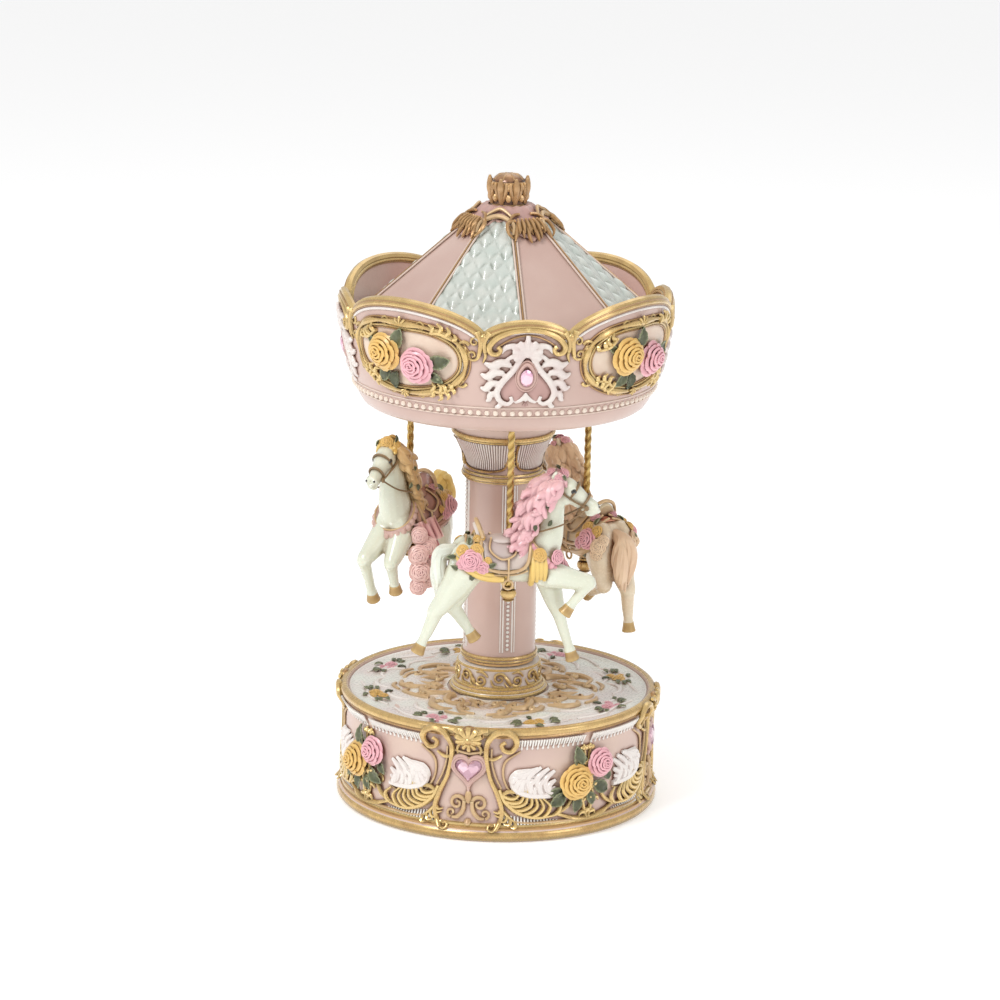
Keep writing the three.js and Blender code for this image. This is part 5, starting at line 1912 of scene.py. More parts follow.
    def crown(self) -> None:
        """The antique crown: a beaded band, a flared leafy wall, eight points and a domed cap."""
        cup = Clay().lathe(
            [
                (0.6, 175.8), (4.8, 175.8), (5.2, 176.4), (5.2, 177.3), (4.8, 177.9), (4.7, 178.6),
                (5.0, 179.8), (5.4, 181.2), (5.7, 182.4), (5.6, 183.2), (5.0, 183.2), (4.6, 182.8),
                (4.3, 183.6), (3.3, 184.4), (1.9, 184.8), (0.6, 184.95)
            ],
            64, True
        )
        cup.ball((0, 0, 183.6), (3.6, 3.6, 1.35), fine=24)
        for i in range(PANELS):
            angle = HALF_PANEL + PANEL_ANGLE * i
            ridge = [
                polar(5.0, angle, 178.0), polar(5.3, angle, 180.2), polar(5.7, angle, 182.2),
                polar(5.85, angle, 184.1)
            ]
            cup.strands([flowing([(*spot, width) for spot, width in zip(ridge, (0.6, 0.95, 1.1, 0.35))], 4)])
            for side in (-14, 14):
                arc = [
                    polar(5.0, angle + side * 0.4, 178.8), polar(5.5, angle + side, 180.8),
                    polar(5.8, angle + side * 1.2, 183.1)
                ]
                cup.strands([flowing([(*spot, width) for spot, width in zip(arc, (0.4, 0.62, 0.4))], 4)])
            cup.ball(polar(5.1, angle + HALF_PANEL, 179.4), (0.9, 0.9, 1.0), fine=8)
            cup.ball(polar(5.4, angle + HALF_PANEL, 182.0), (0.7, 0.7, 1.0), fine=8)
            cup.strands([
                flowing(
                    [
                        (*polar(4.2, angle, 183.4), 0.4), (*polar(2.8, angle, 184.35), 0.36),
                        (*polar(0.8, angle, 184.7), 0.24)
                    ],
                    4
                )
            ])
        for i in range(20):
            cup.ball(polar(5.25, 360 * i / 20, 176.8), (0.6, 0.6, 0.6), fine=7)
        for radius, z in ((5.05, 176.1), (4.95, 177.6)):
            cup.level_ring(radius, z, 0.26, 72)
        top = Matrix.Translation((0, 0, self.peak))
        cup.move(
            top @ Matrix.Diagonal((1, 1, self.crown_stretch, 1)) @ Matrix.Translation((0, 0, -self.peak))
        )
        cup.fire("crown", self.body, Paint.CROWN, ["crown_finial"])


# ------------------------------------------------------------------ horses


@dataclass(frozen=True)
class Stance:
    """How one horse holds its legs and tail, as joints from the body down."""

    fore_outer: tuple[Knot, ...]
    fore_inner: tuple[Knot, ...]
    hind_outer: tuple[Knot, ...]
    hind_inner: tuple[Knot, ...]
    tail: tuple[Knot, ...]


@dataclass(frozen=True)
class Dress:
    """The paints of one horse's coat, hair and harness."""

    coat: Paint
    hair: Paint
    forelock: Paint
    saddle: Paint
    cloth: Paint
    band: Paint
    hip: Paint
    tail: Paint
    strap: Paint
    ribbons: bool = False


class Way(Enum):
    """Which side of the neck a mane falls to."""

    OUTWARD = -1
    INWARD = 1


@dataclass
class Horse:
    """One horse on its twisted pole."""

    number: int
    angle: float
    lift: float
    stance: Stance
    dress: Dress
    mane: Way = Way.OUTWARD
    ring: float = 30.2
    middle_z: float = 78.4
    pole_low: float = -10.2
    pole_high: float = 56.1
    twist: float = 1.15
    girth: tuple[tuple[float, float], ...] = (
        (-16.0, 4.4), (-13.0, 6.3), (-9.0, 6.9), (-4.0, 6.3), (1.0, 6.0), (6.0, 6.4), (10.0, 6.0), (12.6, 4.9)
    )
    slim: float = 0.98
    settle: float = 1.7

    def build(self) -> None:
        """Makes the horse, its harness, its pole and the ball under it."""
        self.coat()
        self.hooves()
        self.hair()
        self.tack()
        self.flowers()
        self.pole()

    def fire(self, clay: Clay, piece: str, paint: Paint, stands_for: Sequence[str] = ()) -> None:
        """Sets clay in the horse's place and finishes it."""
        height = self.middle_z + self.lift - (0 if piece.startswith("pole") else self.settle)
        clay.move(Matrix.Translation(polar(self.ring, self.angle, height)) @ spun(self.angle + 90))
        clay.fire(f"horse_{self.number}_{piece}", f"rider_{self.number}", paint, stands_for)

    def hide(self, x: float, degrees: float, off: float) -> tuple[float, float, float]:
        """A point on the barrel of the body.

        Args:
            x: place along the body.
            degrees: round it from the top, inward positive.
            off: how far off the skin.

        Returns:
            The point.
        """
        turn = math.radians(degrees)
        reach = between(self.girth, x) + off
        return (x, self.slim * reach * math.sin(turn), 0.9 + 0.05 * abs(x) + reach * math.cos(turn))

    def legs(self) -> list[tuple[tuple[Knot, ...], bool]]:
        """Every leg's joints, and whether it is a hind leg."""
        s = self.stance
        return [(s.fore_outer, False), (s.fore_inner, False), (s.hind_outer, True), (s.hind_inner, True)]

    def coat(self) -> None:
        """The body, neck, head and legs, blended to one skin."""
        barrel = Clay().strands(
            [
                flowing(
                    [
                        (-14.6, 0, 1.2, 4.0), (-12.4, 0, 1.6, 5.7), (-9.0, 0, 1.5, 6.4), (-4.0, 0, 0.8, 5.8),
                        (1.0, 0, 0.6, 5.5), (6.0, 0, 0.9, 6.0), (9.8, 0, 1.5, 5.8), (12.8, 0, 1.9, 4.4)
                    ],
                    4
                )
            ],
            sides=5
        )
        barrel.move(Matrix.Diagonal((1, self.slim, 1, 1)))
        neck = Clay().strands(
            [
                flowing(
                    [
                        (7.8, 0, 3.0, 6.0), (9.8, 0, 8.0, 5.5), (10.8, 0, 13.0, 4.7), (11.6, 0, 18.0, 4.1),
                        (13.0, 0, 22.0, 3.8)
                    ],
                    4
                ),
                flowing(
                    [
                        (13.0, 0, 22.8, 3.5), (15.6, 0, 22.2, 3.6), (18.2, 0, 20.4, 3.1),
                        (20.8, 0, 18.4, 2.5), (22.8, 0, 17.1, 2.25), (24.2, 0, 16.4, 2.1)
                    ],
                    4
                )
            ],
            sides=5
        )
        neck.move(Matrix.Diagonal((1, 0.82, 1, 1)))
        body = Clay().add(barrel).add(neck)
        for side in (-1, 1):
            body.ball((-11.4, 3.0 * side, 1.4), (5.8, 4.3, 6.6), fine=20)
            body.ball((9.6, 2.6 * side, -0.4), (4.0, 3.5, 5.4), fine=20)
            body.ball((15.6, 1.7 * side, 20.8), (2.8, 1.5, 3.0), fine=16)
            body.ball((17.4, 2.2 * side, 22.4), (1.4, 0.8, 0.85))
            body.ball((24.2, 1.1 * side, 17.1), (1.1, 0.9, 0.95))
            body.strands([
                flowing(
                    [
                        (12.4, 1.4 * side, 24.4, 1.15), (12.3, 1.9 * side, 26.2, 1.05),
                        (12.9, 2.0 * side, 27.8, 0.4)
                    ],
                    3
                )
            ])
        body.ball((24.5, 0, 15.7), (1.4, 1.2, 0.9))
        body.ball((22.8, 0, 14.9), (1.5, 1.1, 0.8))
        for (hip, knee, foot), hind in self.legs():
            body.strands([self.limb(hip, knee, foot, hind)], sides=4)
        body.merged(0.38, 6)
        self.fire(body, "body", self.dress.coat, [f"horse_{self.number}"])

    def limb(self, hip: Knot, knee: Knot, foot: Knot, hind: bool) -> list[Knot]:
        """The line of one leg with its thickness, from the body to the pastern."""
        a, b, c = Vector(hip), Vector(knee), Vector(foot)
        shank = c - b
        bend = Vector((-1.1 if hind else 0.5, 0, 0.3))
        top, full = (5.4, 1.2) if hind else (4.1, 1.05)
        knots = [
            (a, top), (a.lerp(b, 0.35), top * 0.86), (a.lerp(b, 0.72), 2.7 * full),
            (b + bend * 0.3, 2.1 * full), (b + shank * 0.14 + bend * 0.15, 1.75 * full),
            (b + shank * 0.5, 1.45 * full), (b + shank * 0.74, 1.42), (b + shank * 0.84, 1.72),
            (b + shank * 0.92, 1.5)
        ]
        return flowing([(*spot, width) for spot, width in knots], 4)

    def hooves(self) -> None:
        """Gilt hooves that flare to the ground."""
        feet = Clay()
        for (_, knee, foot), _ in self.legs():
            b, c = Vector(knee), Vector(foot)
            way = (c - b).normalized()
            line = [(*(c + way * step), width) for step, width in
                    ((-2.2, 1.1), (-2.0, 1.65), (-1.4, 1.7), (-0.5, 1.85), (0.55, 2.1), (0.85, 1.9))]
            feet.strands([line], sides=4)
        self.fire(feet, "hooves", Paint.HOOF)

    def lock(
        self, root: Sequence[float], fall: Sequence[float], wave: float, thick: float, phase: float
    ) -> list[Knot]:
        """One tapered, waving lock of hair.

        Args:
            root: where it grows.
            fall: how far it reaches from there.
            wave: how far it swings from side to side.
            thick: half thickness near its root.
            phase: where its swing starts.

        Returns:
            The lock's line.
        """
        start, way = Vector(root), Vector(fall)
        side = way.cross(Vector((0, 1, 0.3))).normalized()
        knots = []
        for i in range(6):
            t = i / 5
            swing = side * (wave * math.sin(phase + t * 5.2) * t)
            knots.append((
                *(start + way * t + swing), thick * (0.75 + 0.6 * math.sin(t * 2.6)) * (1 - 0.72 * t**2.2)
            ))
        return flowing(knots, 4)

    def hair(self) -> None:
        """The mane, forelock and tail, as separate waving locks."""
        fall, strands = self.mane.value, []
        crest = flowing([
            (13.2, 0, 26.0, 0), (10.4, 0, 24.6, 0), (7.6, 0, 19.4, 0), (5.6, 0, 13.4, 0), (3.2, 0, 9.0, 0)
        ])
        for i, (x, _, z, _) in enumerate(crest):
            share = i / (len(crest) - 1)
            for row in range(4):
                out = (-1.6, 0.4, 1.9, 3.0)[row] * fall
                reach = (5.8 + 2.2 * math.sin(i * 1.7 + row)) * (1 - 0.2 * share)
                way = (-4.8 + 0.9 * row + 1.2 * math.sin(i * 2.1), (0.6 + 0.8 * row) * fall, -reach)
                root = (x + 0.3 * row - 0.5, out, z - 0.25 * row)
                strands.append(self.lock(root, way, 1.2, 1.45, i * 1.3 + row * 2))
            strands.append(self.lock((x + 0.2, -1.4 * fall, z), (-2.2, -2.4 * fall, -5.0), 0.9, 1.2, i * 0.9))
            strands.append(
                self.lock(
                    (x + 0.2, 0, z + 0.4), (-6.2, 1.4 * fall * math.sin(i * 3), -4.0), 1.3, 1.5, i * 1.9
                )
            )
        self.fire(Clay().strands(strands), "mane", self.dress.hair)
        tuft = []
        for i in range(9):
            side = (i - 4) / 4
            tuft.append(
                self.lock(
                    (13.6, 1.3 * side, 25.6), (3.2 - 0.9 * abs(side), 1.9 * side, -1.7 - 0.6 * (i % 2)), 0.6,
                    0.95, i
                )
            )
            tuft.append(self.lock((13.0, 1.0 * side, 25.4), (1.0, 2.1 * side, 1.7), 0.6, 0.85, i * 2))
        self.fire(Clay().strands(tuft), "forelock", self.dress.forelock)
        tail = []
        a, b, c = (Vector(p) for p in self.stance.tail)
        for i in range(20):
            spread = math.tau * i / 20
            off = Vector((0.3 * math.sin(2 * spread), math.cos(spread), math.sin(spread)))
            reach = 1.0 + 0.8 * ((i * 7) % 5) / 5
            knots = [
                (*(a + off * 0.9 + Vector((1.4, 0, 0))), 1.1),
                (*(a.lerp(b, 0.5) + off * 1.3 + Vector((-0.9, 0, 1.2))), 1.4),
                (*(b + off * 1.7 * reach), 1.45), (*(b.lerp(c, 0.5) + off * 1.8 * reach), 1.25),
                (*(c + off * 1.5 + Vector((1.1 * math.sin(i * 2), 0, 2.0 * reach - 2.4))), 0.3)
            ]
            tail.append(flowing(knots))
        self.fire(Clay().strands(tail), "tail", self.dress.tail)

    def wrap(self, first: float, last: float, low: float, off: float, ruffle: float, thick: float) -> Clay:
        """A cloth over the back.

        Args:
            first: its rear edge along the body.
            last: its front edge.
            low: how far down each side it hangs, in degrees from the top.
            off: how far off the skin.
            ruffle: depth of the folds at its hem.
            thick: its thickness.

        Returns:
            The cloth.
        """

        def place(u: float, v: float) -> tuple[float, float, float]:
            """One point of the cloth."""
            corner = 1 - 0.16 * abs(v) ** 3
            x = (first + last) / 2 + u * (last - first) / 2 * corner
            hem = abs(v) ** 4
            fold = ruffle * hem * math.sin(u * 15 + 2 * v)
            drop = low * v * (1 - 0.05 * u * u)
            px, py, pz = self.hide(x, drop, off + fold + 0.7 * ruffle * hem)
            return (px + 0.3 * fold, py, pz)

        return Clay().sheet(34, 34, place, thick)

    def laid(self, rows: Iterable[Knot], side: int, steps: int = 6) -> list[Knot]:
        """A smooth line on the body through (x, degrees, off, half thickness) rows.

        Args:
            rows: its knots, counted from the top of the back.
            side: 1 for the inner side and -1 for the outer one.
            steps: points made for each stretch.

        Returns:
            The line.
        """
        return flowing(
            [(*self.hide(x, degrees * side, off), width) for x, degrees, off, width in rows], steps
        )

    def hoop(self, x: float, off: float, width: float, lean: float = 0.0) -> list[Knot]:
        """A strap right round the body at one place."""
        line = []
        for i in range(48):
            turn = 7.5 * i
            line.append((*self.hide(x + lean * math.cos(math.radians(turn)), turn, off), width))
        return line

    def tack(self) -> None:
        """Saddle cloth, saddle, straps, breast collar and bridle."""
        cloth = self.wrap(-9.6, 5.2, 106, 0.15, 0.6, 0.5)
        cloth.add(self.wrap(-12.2, -6.0, 70, 0.1, 0.5, 0.4))
        if self.dress.cloth is Paint.RUFFLE:
            cloth.add(self.ruffle(0)).add(self.ruffle(1))
            for x, y, z, size in (
                (8.6, 7.6, -1.6, 2.6), (6.2, 9.0, -5.2, 3.0), (9.6, 8.0, -7.2, 3.0), (5.0, 8.6, -10.0, 2.8),
                (9.2, 8.4, -12.2, 3.2), (5.8, 8.8, -15.0, 2.9), (9.4, 8.0, -16.8, 2.5)
            ):
                cloth.add(rose(size, 37 * x), Matrix.Translation((x, y, z)) @ facing((0.9, 0.55, 0.1)))
        self.fire(cloth, "saddle_cloth", self.dress.cloth)
        saddle = self.wrap(-7.8, 5.2, 96, 0.85, 0.0, 0.9)
        saddle.sheet(
            18, 12, lambda u,
            v: (
                -7.2 - 1.4 * (1 - u * u) - 1.1 * v, 4.8 * u,
                8.6 + 2.0 * (v + 1) * (1 - 0.55 * u * u) - 2.4 * u * u
            ),
            1.0
        )
        saddle.sheet(
            14, 10, lambda u,
            v: (3.2 + 0.6 * v, 3.2 * u, 7.9 + 1.5 * (v + 1) * (1 - 0.5 * u * u) - 1.5 * u * u), 0.9
        )
        saddle.ball((-2.0, 0, 7.5), (5.0, 3.8, 1.4), fine=20)
        self.fire(saddle, "saddle", self.dress.saddle)

        trim = []
        for side in (-1, 1):
            for knots, off, width in (
                (
                    (
                        (-7.6, 10), (-8.4, 44), (-7.6, 84), (-4.2, 99), (1.4, 99), (4.6, 84), (5.6, 44),
                        (4.8, 10)
                    ),
                    1.25, 0.5
                ),
                (((-5.4, 20), (-5.8, 54), (-2.4, 72), (1.2, 60), (1.8, 26)), 1.45, 0.3),
                (((-9.9, 8), (-10.4, 50), (-9.9, 96), (-6.8, 107), (1.0, 108), (4.8, 98)), 1.0, 0.34),
                (((-12.3, 4), (-12.6, 36), (-11.6, 68)), 0.7, 0.32)
            ):
                trim.append(self.laid([(x, a, off, width) for x, a in knots], side))
            trim.append([(*self.hide(-0.6, a * side, 1.5), 0.3) for a in range(70, 122, 5)])
            x, y, z = self.hide(-0.6, 124 * side, 1.6)
            trim.append([
                (x + 1.3 * math.sin(t), y, z - 0.9 - 1.3 * math.cos(t), 0.32)
                for t in [math.tau * k / 16 for k in range(17)]
            ])
        trim.append(
            flowing(
                [
                    (-7.8, -4.8, 9.0, 0.5), (-9.0, -3.2, 11.9, 0.55), (-9.6, 0, 13.2, 0.6),
                    (-9.0, 3.2, 11.9, 0.55), (-7.8, 4.8, 9.0, 0.5)
                ],
                6
            )
        )
        trim.append(flowing([(3.2, -3.0, 8.6, 0.4), (3.8, 0, 11.3, 0.5), (3.2, 3.0, 8.6, 0.4)], 6))
        self.fire(Clay().strands(trim), "saddle_trim", Paint.TAN)

        strap = Clay().strands([self.hoop(6.2, 0.15, 0.9), self.hoop(-0.8, 0.25, 0.6, 0.8)], ring=True)
        for side in (-1, 1):
            if self.dress.ribbons:
                for k in range(4):
                    x = 6.4 + 1.1 * k
                    pleat = (
                        (x, 66, 0.4, 0.6), (x, 88, 0.9, 0.85), (x, 108, 1.0, 0.85),
                        (x, 122 + 6 * (k % 2), 1.3, 0.55)
                    )
                    strap.strands([self.laid(pleat, side, 5)])
            strap.strands([
                self.laid(
                    (
                        (-15.6, 60, 0.5, 0.7), (-13.4, 88, 0.8, 1.0), (-10.0, 106, 0.9, 1.15),
                        (-6.0, 116, 1.0, 1.2), (-2.0, 122, 0.9, 0.9)
                    ),
                    side
                ),
                self.laid(
                    (
                        (-14.0, 74, 0.5, 0.5), (-11.0, 94, 1.0, 0.9), (-7.4, 104, 1.1, 0.9),
                        (-4.0, 112, 0.8, 0.5)
                    ),
                    side
                )
            ])
        self.fire(strap, "straps", self.dress.strap)

        collar = Clay()
        ring = [(9.2 + 4.4 * math.cos(t), 5.5 * math.sin(t), 3.4 - 4.4 * math.cos(t), 1.15) for t in
                [math.tau * k / 40 for k in range(40)]]
        collar.strands([ring], ring=True)
        for k in range(22):
            t = math.tau * k / 22
            collar.ball(
                (9.4 + 4.7 * math.cos(t), 6.0 * math.sin(t), 3.2 - 4.8 * math.cos(t)), (1.2, 1.05, 1.2),
                fine=8
            )
        self.fire(collar, "breast_collar", self.dress.band)
        edge = [(x + 0.25, y * 1.09, z + 1.2, 0.3) for x, y, z, _ in ring]
        low = [(x + 0.35, y * 1.09, z - 1.2, 0.3) for x, y, z, _ in ring]
        self.fire(Clay().strands([edge, low], ring=True), "collar_piping", Paint.TAN)

        bridle = []
        for at, reach in (((21.0, 18.4), 2.65), ((17.4, 21.0), 3.45)):
            bridle.append([
                (
                    at[0] - 0.62 * reach * math.cos(t), 0.84 * reach * math.sin(t),
                    at[1] - 0.86 * reach * math.cos(t), 0.34
                )
                for t in [math.tau * k / 28 for k in range(28)]
            ])
        made = Clay().strands(bridle, ring=True)
        for side in (-1, 1):
            made.strands([
                flowing([
                    (12.8, 2.7 * side, 24.4, 0.3), (15.0, 3.5 * side, 21.4, 0.3),
                    (18.6, 2.9 * side, 18.8, 0.3), (21.4, 2.3 * side, 17.2, 0.3)
                ]),
                flowing(
                    [
                        (21.6, 2.3 * side, 16.9, 0.26), (16.0, 4.2 * side, 13.4, 0.26),
                        (9.6, 5.3 * side, 11.4, 0.26), (4.0, 3.2 * side, 9.6, 0.26)
                    ],
                    6
                )
            ])
            made.ball((21.5, 2.35 * side, 17.0), (0.75, 0.45, 0.75), fine=10)
        self.fire(made, "bridle", Paint.BRIDLE)

        eyes = Clay()
        for side in (-1, 1):
            eyes.ball((17.7, 2.65 * side, 22.0), (0.9, 0.55, 0.75), fine=12)
            eyes.ball((25.0, 1.25 * side, 17.2), (0.42, 0.35, 0.35), fine=8)
        self.fire(eyes, "eyes", Paint.EYE)

    def ruffle(self, tier: int) -> Clay:
        """One tier of the ruffled skirt that hangs on the inner side.

        Args:
            tier: 0 for the uppermost.

        Returns:
            The tier.
        """
        top = 1.6 - 4.3 * tier
        rear = -3.4 + 0.9 * tier

        def place(u: float, v: float) -> tuple[float, float, float]:
            """One point of the tier, gathered at its top and flared at its hem."""
            fall = (1 - v) / 2
            fold = math.sin(u * 11 + tier) * (0.35 + 1.05 * fall) + 0.25 * math.sin(u * 23 + 2 * tier)
            return (
                rear + (5.9 - 0.5 * tier) * (u + 1) + 0.5 * fold, 6.2 + 0.5 * tier + 2.6 * fall + fold,
                top - 5.8 * fall
            )

        return Clay().sheet(52, 10, place, 0.9)

    def flowers(self) -> None:
        """Roses, buds and leaves on the hip, the neck, the collar and the brow."""
        roses, buds, leaves, curls = Clay(), Clay(), Clay(), Clay()

        def on(spot: Sequence[float], outward: Sequence[float]) -> Matrix:
            """The frame of a flower at a spot, facing outward."""
            return Matrix.Translation(spot) @ facing(outward)

        for side in (-1, 1):
            for x, a, size, yellow in (
                (-11.2, 78, 3.1, False), (-8.2, 92, 2.1, False), (-13.4, 56, 1.9, True),
                (-9.6, 54, 1.9, True), (-13.6, 88, 1.7, False), (-6.6, 78, 1.3, True),
                (-8.8, 24, 1.7, self.dress.cloth is Paint.IVORY)
            ):
                spot = Vector(self.hide(x, a * side, 0.5))
                out = (-0.15, side * math.sin(math.radians(a)), math.cos(math.radians(a)))
                (buds if yellow else roses).add(rose(size, 25 * x), on(spot, out))
            for x, a, turn in (
                (-6.8, 90, 20), (-14.2, 100, 160), (-10.4, 104, 250), (-11.6, 44, 90), (-15.2, 70, 180)
            ):
                spot = Vector(self.hide(x, a * side, 0.5))
                out = (0, side * math.sin(math.radians(a)), math.cos(math.radians(a)))
                leaves.add(leaf(3.0, 1.6, turn), on(spot, out))
            if side == self.mane.value:
                for x, y, z in ((12.0, 4.4, 22.4), (9.4, 5.2, 18.0), (6.6, 5.6, 13.2), (10.4, 4.9, 12.6)):
                    leaves.add(leaf(2.0, 1.3, 40 * x), on((x, y * side, z), (0.3, side, 0.2)))
            if self.dress.ribbons:
                roses.add(rose(2.1, 30), on((13.0, 4.4 * side, 3.4), (0.6, side * 0.8, 0.1)))
                buds.add(rose(1.9, 50), on(self.hide(8.2, 64 * side, 1.0), (0, side, 0.4)))
            for x, a, size in ((-14.8, 92, 2.4), (-14.2, 116, 2.1), (-16.0, 74, 1.8)):
                spot = Vector(self.hide(x, a * side, 0.9))
                curls.add(
                    rose(size, 31 * x),
                    on(spot, (-0.8, side * math.sin(math.radians(a)), math.cos(math.radians(a))))
                )
        if self.dress.ribbons:
            roses.add(rose(2.2, 0), on((14.6, 0, -0.2), (1, 0, -0.1)))
        for x, y, z, size in (
            (14.6, 0, 26.4, 1.9), (13.4, -2.3, 25.6, 1.5), (13.4, 2.3, 25.6, 1.5), (11.6, 0, 26.8, 1.5)
        ):
            (
                buds if self.dress.forelock is Paint.STRAP else roses
            ).add(rose(size, 40 * x), on((x, y, z), (x - 12.4, y, 1.2)))
        for y, turn in ((2.2, 60), (-2.2, 300)):
            leaves.add(leaf(2.2, 1.2, turn), on((14.2, y, 26.8), (0.4, y, 1)))
        self.fire(roses, "roses", self.dress.hip)
        self.fire(buds, "yellow_buds", Paint.YELLOW_ROSE)
        self.fire(leaves, "leaves", Paint.LEAF)
        if self.number == 2:
            self.fire(curls, "tail_roses", self.dress.tail)

    def pole(self) -> None:
        """The twisted brass pole, and the ball that ends it."""
        rows = 150
        rod = Clay().lathe(
            [(1.0, self.pole_low + (self.pole_high - self.pole_low) * i / rows) for i in range(rows + 1)], 16
        )
        for vert in rod.bm.verts:
            turn = math.atan2(vert.co.y, vert.co.x)
            vert.co.xy *= 0.8 + 0.26 * abs(math.cos(turn - vert.co.z * self.twist))
        self.fire(rod.capped(), "pole", Paint.BRASS, [f"pole_{self.number}"])
        ball = Clay().lathe(
            [
                (1.1, -8.1), (1.7, -8.1), (1.8, -8.5), (1.5, -8.8), (2.1, -9.2), (2.35, -10.0), (2.2, -10.9),
                (1.6, -11.6), (1.5, -11.8), (1.7, -12.0), (1.2, -12.4), (0.3, -12.55)
            ],
            28
        )
        self.fire(ball.capped(), "pole_ball", Paint.GILT, [f"pole_ball_{self.number}"])


HORSES = (
    Horse(
        1, -85.6, 0.99,
        Stance(
            ((11, -2.6, -2), (22.6, -3.4, -4.4), (16.2, -3.4, -13)),
            ((10.5, 2.6, -2), (14.6, 3.2, -15), (19.0, 3.2, -28.4)),
            ((-12.5, -2.4, -1), (-20.4, -3.2, -13), (-25.6, -3.2, -24.4)),
            ((-12, 2.4, -1), (-15.4, 3.2, -13), (-9.4, 3.2, -22.5)),
            ((-16.5, 0, 4), (-20, 0, 0), (-19, 0, -9))
        ),
        Dress(
            Paint.IVORY, Paint.ROSE_HAIR, Paint.ROSE_HAIR, Paint.LILAC, Paint.IVORY, Paint.PINK_ROSE,
            Paint.PINK_ROSE, Paint.IVORY, Paint.STRAP, True
        )
    ),
    Horse(
        2, 34.4, -3.04,
        Stance(
            ((11, -2.6, -2), (20.6, -3.4, -6), (15.4, -3.4, -14)),
            ((10.5, 2.6, -2), (20.4, 3.2, -8), (16.6, 3.2, -17)),
            ((-12.5, -2.4, -1), (-16.8, -3.4, -12.6), (-18.0, -3.6, -24.2)),
            ((-12, 2.4, -1), (-14.0, 3.2, -11), (-6.0, 3.0, -15.5)),
            ((-16.5, 0, 4), (-20, 0, -1), (-19.4, 0, -10))
        ),
        Dress(
            Paint.CREAM_COAT, Paint.PEACH_HAIR, Paint.PEACH_HAIR, Paint.SAND, Paint.CORAL, Paint.CORAL,
            Paint.PINK_ROSE, Paint.PEACH_HAIR, Paint.TAN
        ),
        Way.INWARD
    ),
    Horse(
        3, 154.4, 2.05,
        Stance(
            ((11, -2.6, -2), (20.6, -4, -8), (14.6, -4, -20.8)),
            ((10.5, 2.6, -2), (17, 3.0, -9), (13.6, 2.8, -17.8)),
            ((-12.5, -2.4, -1), (-18.6, -3.2, -12), (-21, -3.2, -23)),
            ((-12, 2.4, -1), (-16.4, 3.2, -13), (-11.4, 3.2, -22)), ((-16.5, 0, 5), (-21, 0, 7), (-24, 0, 0))
        ),
        Dress(
            Paint.IVORY, Paint.RUST_HAIR, Paint.STRAP, Paint.UMBER, Paint.RUFFLE, Paint.MAUVE,
            Paint.PINK_ROSE, Paint.STRAP, Paint.UMBER
        ),
        Way.INWARD
    )
)


# ------------------------------------------------------------------ movement


@dataclass
class Movement:
    """The solid parts that stay as they are, and only take their finish."""

    finishes: dict[str, Paint] = field(
        default_factory=lambda: {
            "bottom_cover": Paint.CARD, "cover_screw": Paint.STEEL, "bedplate_screw": Paint.STEEL,
            "comb": Paint.STEEL, "comb_screw": Paint.TURNED_BRASS, "centre_post": Paint.STEEL,
            "lifting_rail": Paint.STEEL, "deck_bush": Paint.TURNED_BRASS, "thrust_washer": Paint.DARK_GILT,
            "movement_bedplate": Paint.ZINC, "governor_bracket": Paint.TURNED_BRASS,
            "governor_fly": Paint.MOULDED, "spring_barrel": Paint.TURNED_BRASS, "mainspring": Paint.STEEL,
            "winding_arbor": Paint.STEEL, "winding_key": Paint.TURNED_BRASS,
            "pin_cylinder": Paint.TURNED_BRASS, "cylinder_arbor": Paint.STEEL,
            "worm_wheel": Paint.TURNED_BRASS, "drive_sleeve": Paint.MOULDED, "drive_wheel": Paint.MOULDED,
            "canopy_tray": Paint.BLUSH, "oval_gem": Paint.OVAL, "pole_bush": Paint.TURNED_BRASS,
            "pole_follower": Paint.MOULDED
        }
    )

    def build(self) -> None:
        """Gives every solid part that still shows its finish."""
        for name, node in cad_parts.items():
            paint = self.finishes.get(name) or self.finishes.get(name.rstrip("0123456789").rstrip("_"))
            if paint:
                for slot in node.material_slots:
                    slot.material = paint.value.material()
                LOG.info("%s takes %s", name, paint.value.name)


# ------------------------------------------------------------------ studio


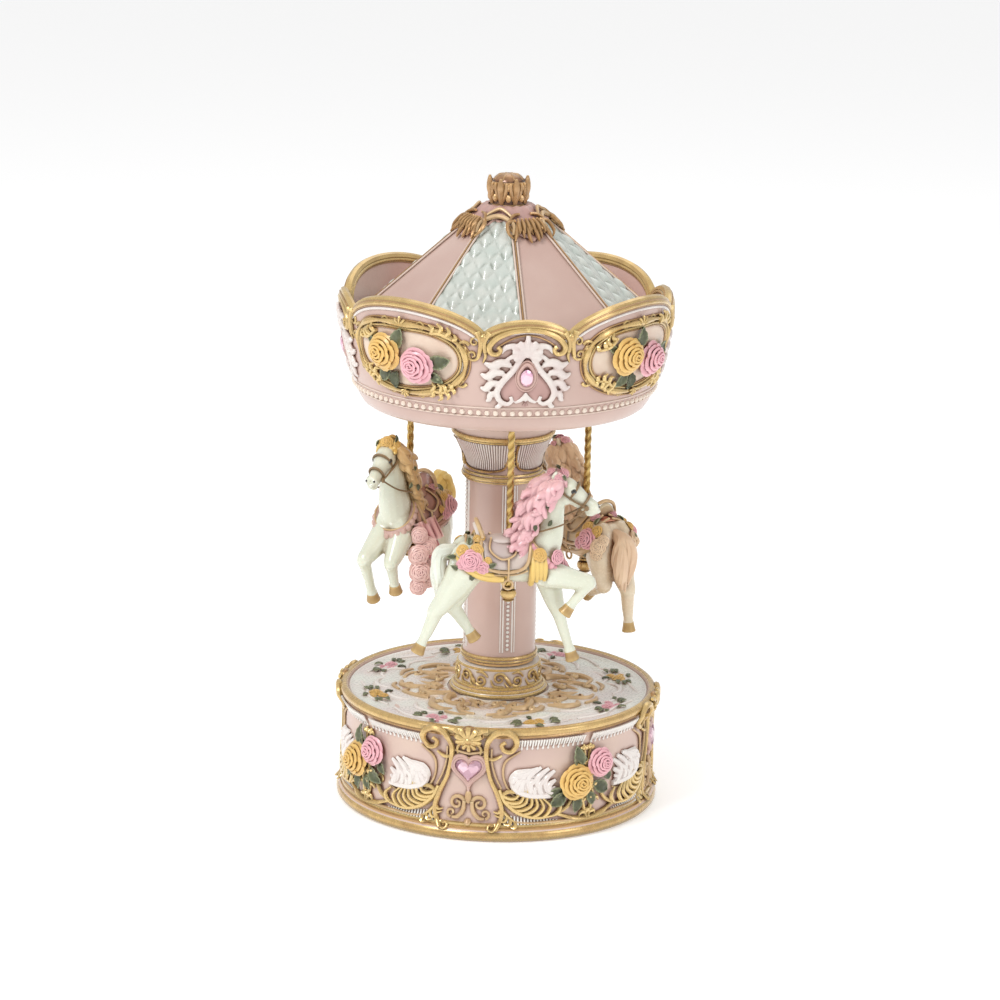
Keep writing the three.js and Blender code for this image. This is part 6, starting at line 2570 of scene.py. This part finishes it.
@dataclass
class Studio:
    """White floor, soft lamps and the camera, in scene metres.

    Each lamp is its azimuth, elevation, distance, size and power.
    """

    aim: Vector = field(default_factory=lambda: Vector((-0.0006, 0.0, 0.0888)))
    distance: float = 1.1
    elevation: float = 14.2
    roll: float = 1.2
    lens: float = 136.3
    sensor: float = 36.0
    eye_level: float = 0.092
    floor_half: float = 6.0
    floor_tone: float = 0.93
    floor_glow: float = 0.33
    sky: float = 0.62
    lamps: tuple[tuple[float, float, float, float, float], ...] = (
        (-42.0, 46.0, 0.9, 0.32, 3.6), (52.0, 26.0, 0.9, 0.4, 1.1), (165.0, 55.0, 1.0, 0.8, 1.4),
    )

    def build(self) -> None:
        """Sets up the floor, the lamps, the world and the camera."""
        floor = bpy.data.meshes.new("studio_floor")
        plane = bmesh.new()
        bmesh.ops.create_grid(plane, x_segments=1, y_segments=1, size=self.floor_half)
        plane.to_mesh(floor)
        plane.free()
        white = bpy.data.materials.new("floor white")
        white.use_nodes = True
        matt = white.node_tree.nodes["Principled BSDF"].inputs
        matt["Base Color"].default_value = (self.floor_tone, self.floor_tone, self.floor_tone, 1)
        matt["Roughness"].default_value = 0.9
        matt["Emission Color"].default_value = (1, 1, 1, 1)
        matt["Emission Strength"].default_value = self.floor_glow
        floor.materials.append(white)
        ground = bpy.data.objects.new("studio_floor", floor)
        bpy.context.scene.collection.objects.link(ground)

        for azimuth, elevation, away, size, power in self.lamps:
            lamp = bpy.data.lights.new("soft lamp", "AREA")
            lamp.shape = "DISK"
            lamp.size = size
            lamp.energy = power
            holder = bpy.data.objects.new("soft lamp", lamp)
            spot = self.place(azimuth, elevation, away)
            holder.matrix_world = Matrix.Translation(spot) @ facing(spot - self.aim)
            bpy.context.scene.collection.objects.link(holder)

        world = bpy.data.worlds.new("studio")
        world.use_nodes = True
        world.node_tree.nodes["Background"].inputs["Color"].default_value = (1, 1, 1, 1)
        world.node_tree.nodes["Background"].inputs["Strength"].default_value = self.sky
        bpy.context.scene.world = world
        bpy.context.scene.view_settings.view_transform = "Standard"

        camera = bpy.data.cameras.new("camera")
        camera.lens = self.lens
        camera.sensor_width = self.sensor
        camera.clip_start = 0.01
        eye = Vector((0, 0, self.eye_level)) + self.place(0.0, self.elevation, self.distance) - self.aim
        holder = bpy.data.objects.new("camera", camera)
        holder.matrix_world = Matrix.Translation(eye) @ facing(eye - self.aim) @ spun(self.roll)
        bpy.context.scene.collection.objects.link(holder)
        bpy.context.scene.camera = holder

    def place(self, azimuth: float, elevation: float, away: float) -> Vector:
        """A point round the object; azimuth 0 is in front, and 90 to the right."""
        a, e = math.radians(azimuth), math.radians(elevation)
        return self.aim + Vector((math.sin(a) * math.cos(e), -math.cos(a) * math.cos(e), math.sin(e))) * away


def main() -> None:
    """Builds the music box from the floor up."""
    logging.basicConfig(level=logging.INFO, format="%(name)s: %(message)s")
    for part in (Studio(), MusicBase(), Column(), Canopy(), Roof(), *HORSES, Movement()):
        LOG.info("building %s", type(part).__name__)
        part.build()


if __name__ == "__main__":
    main()
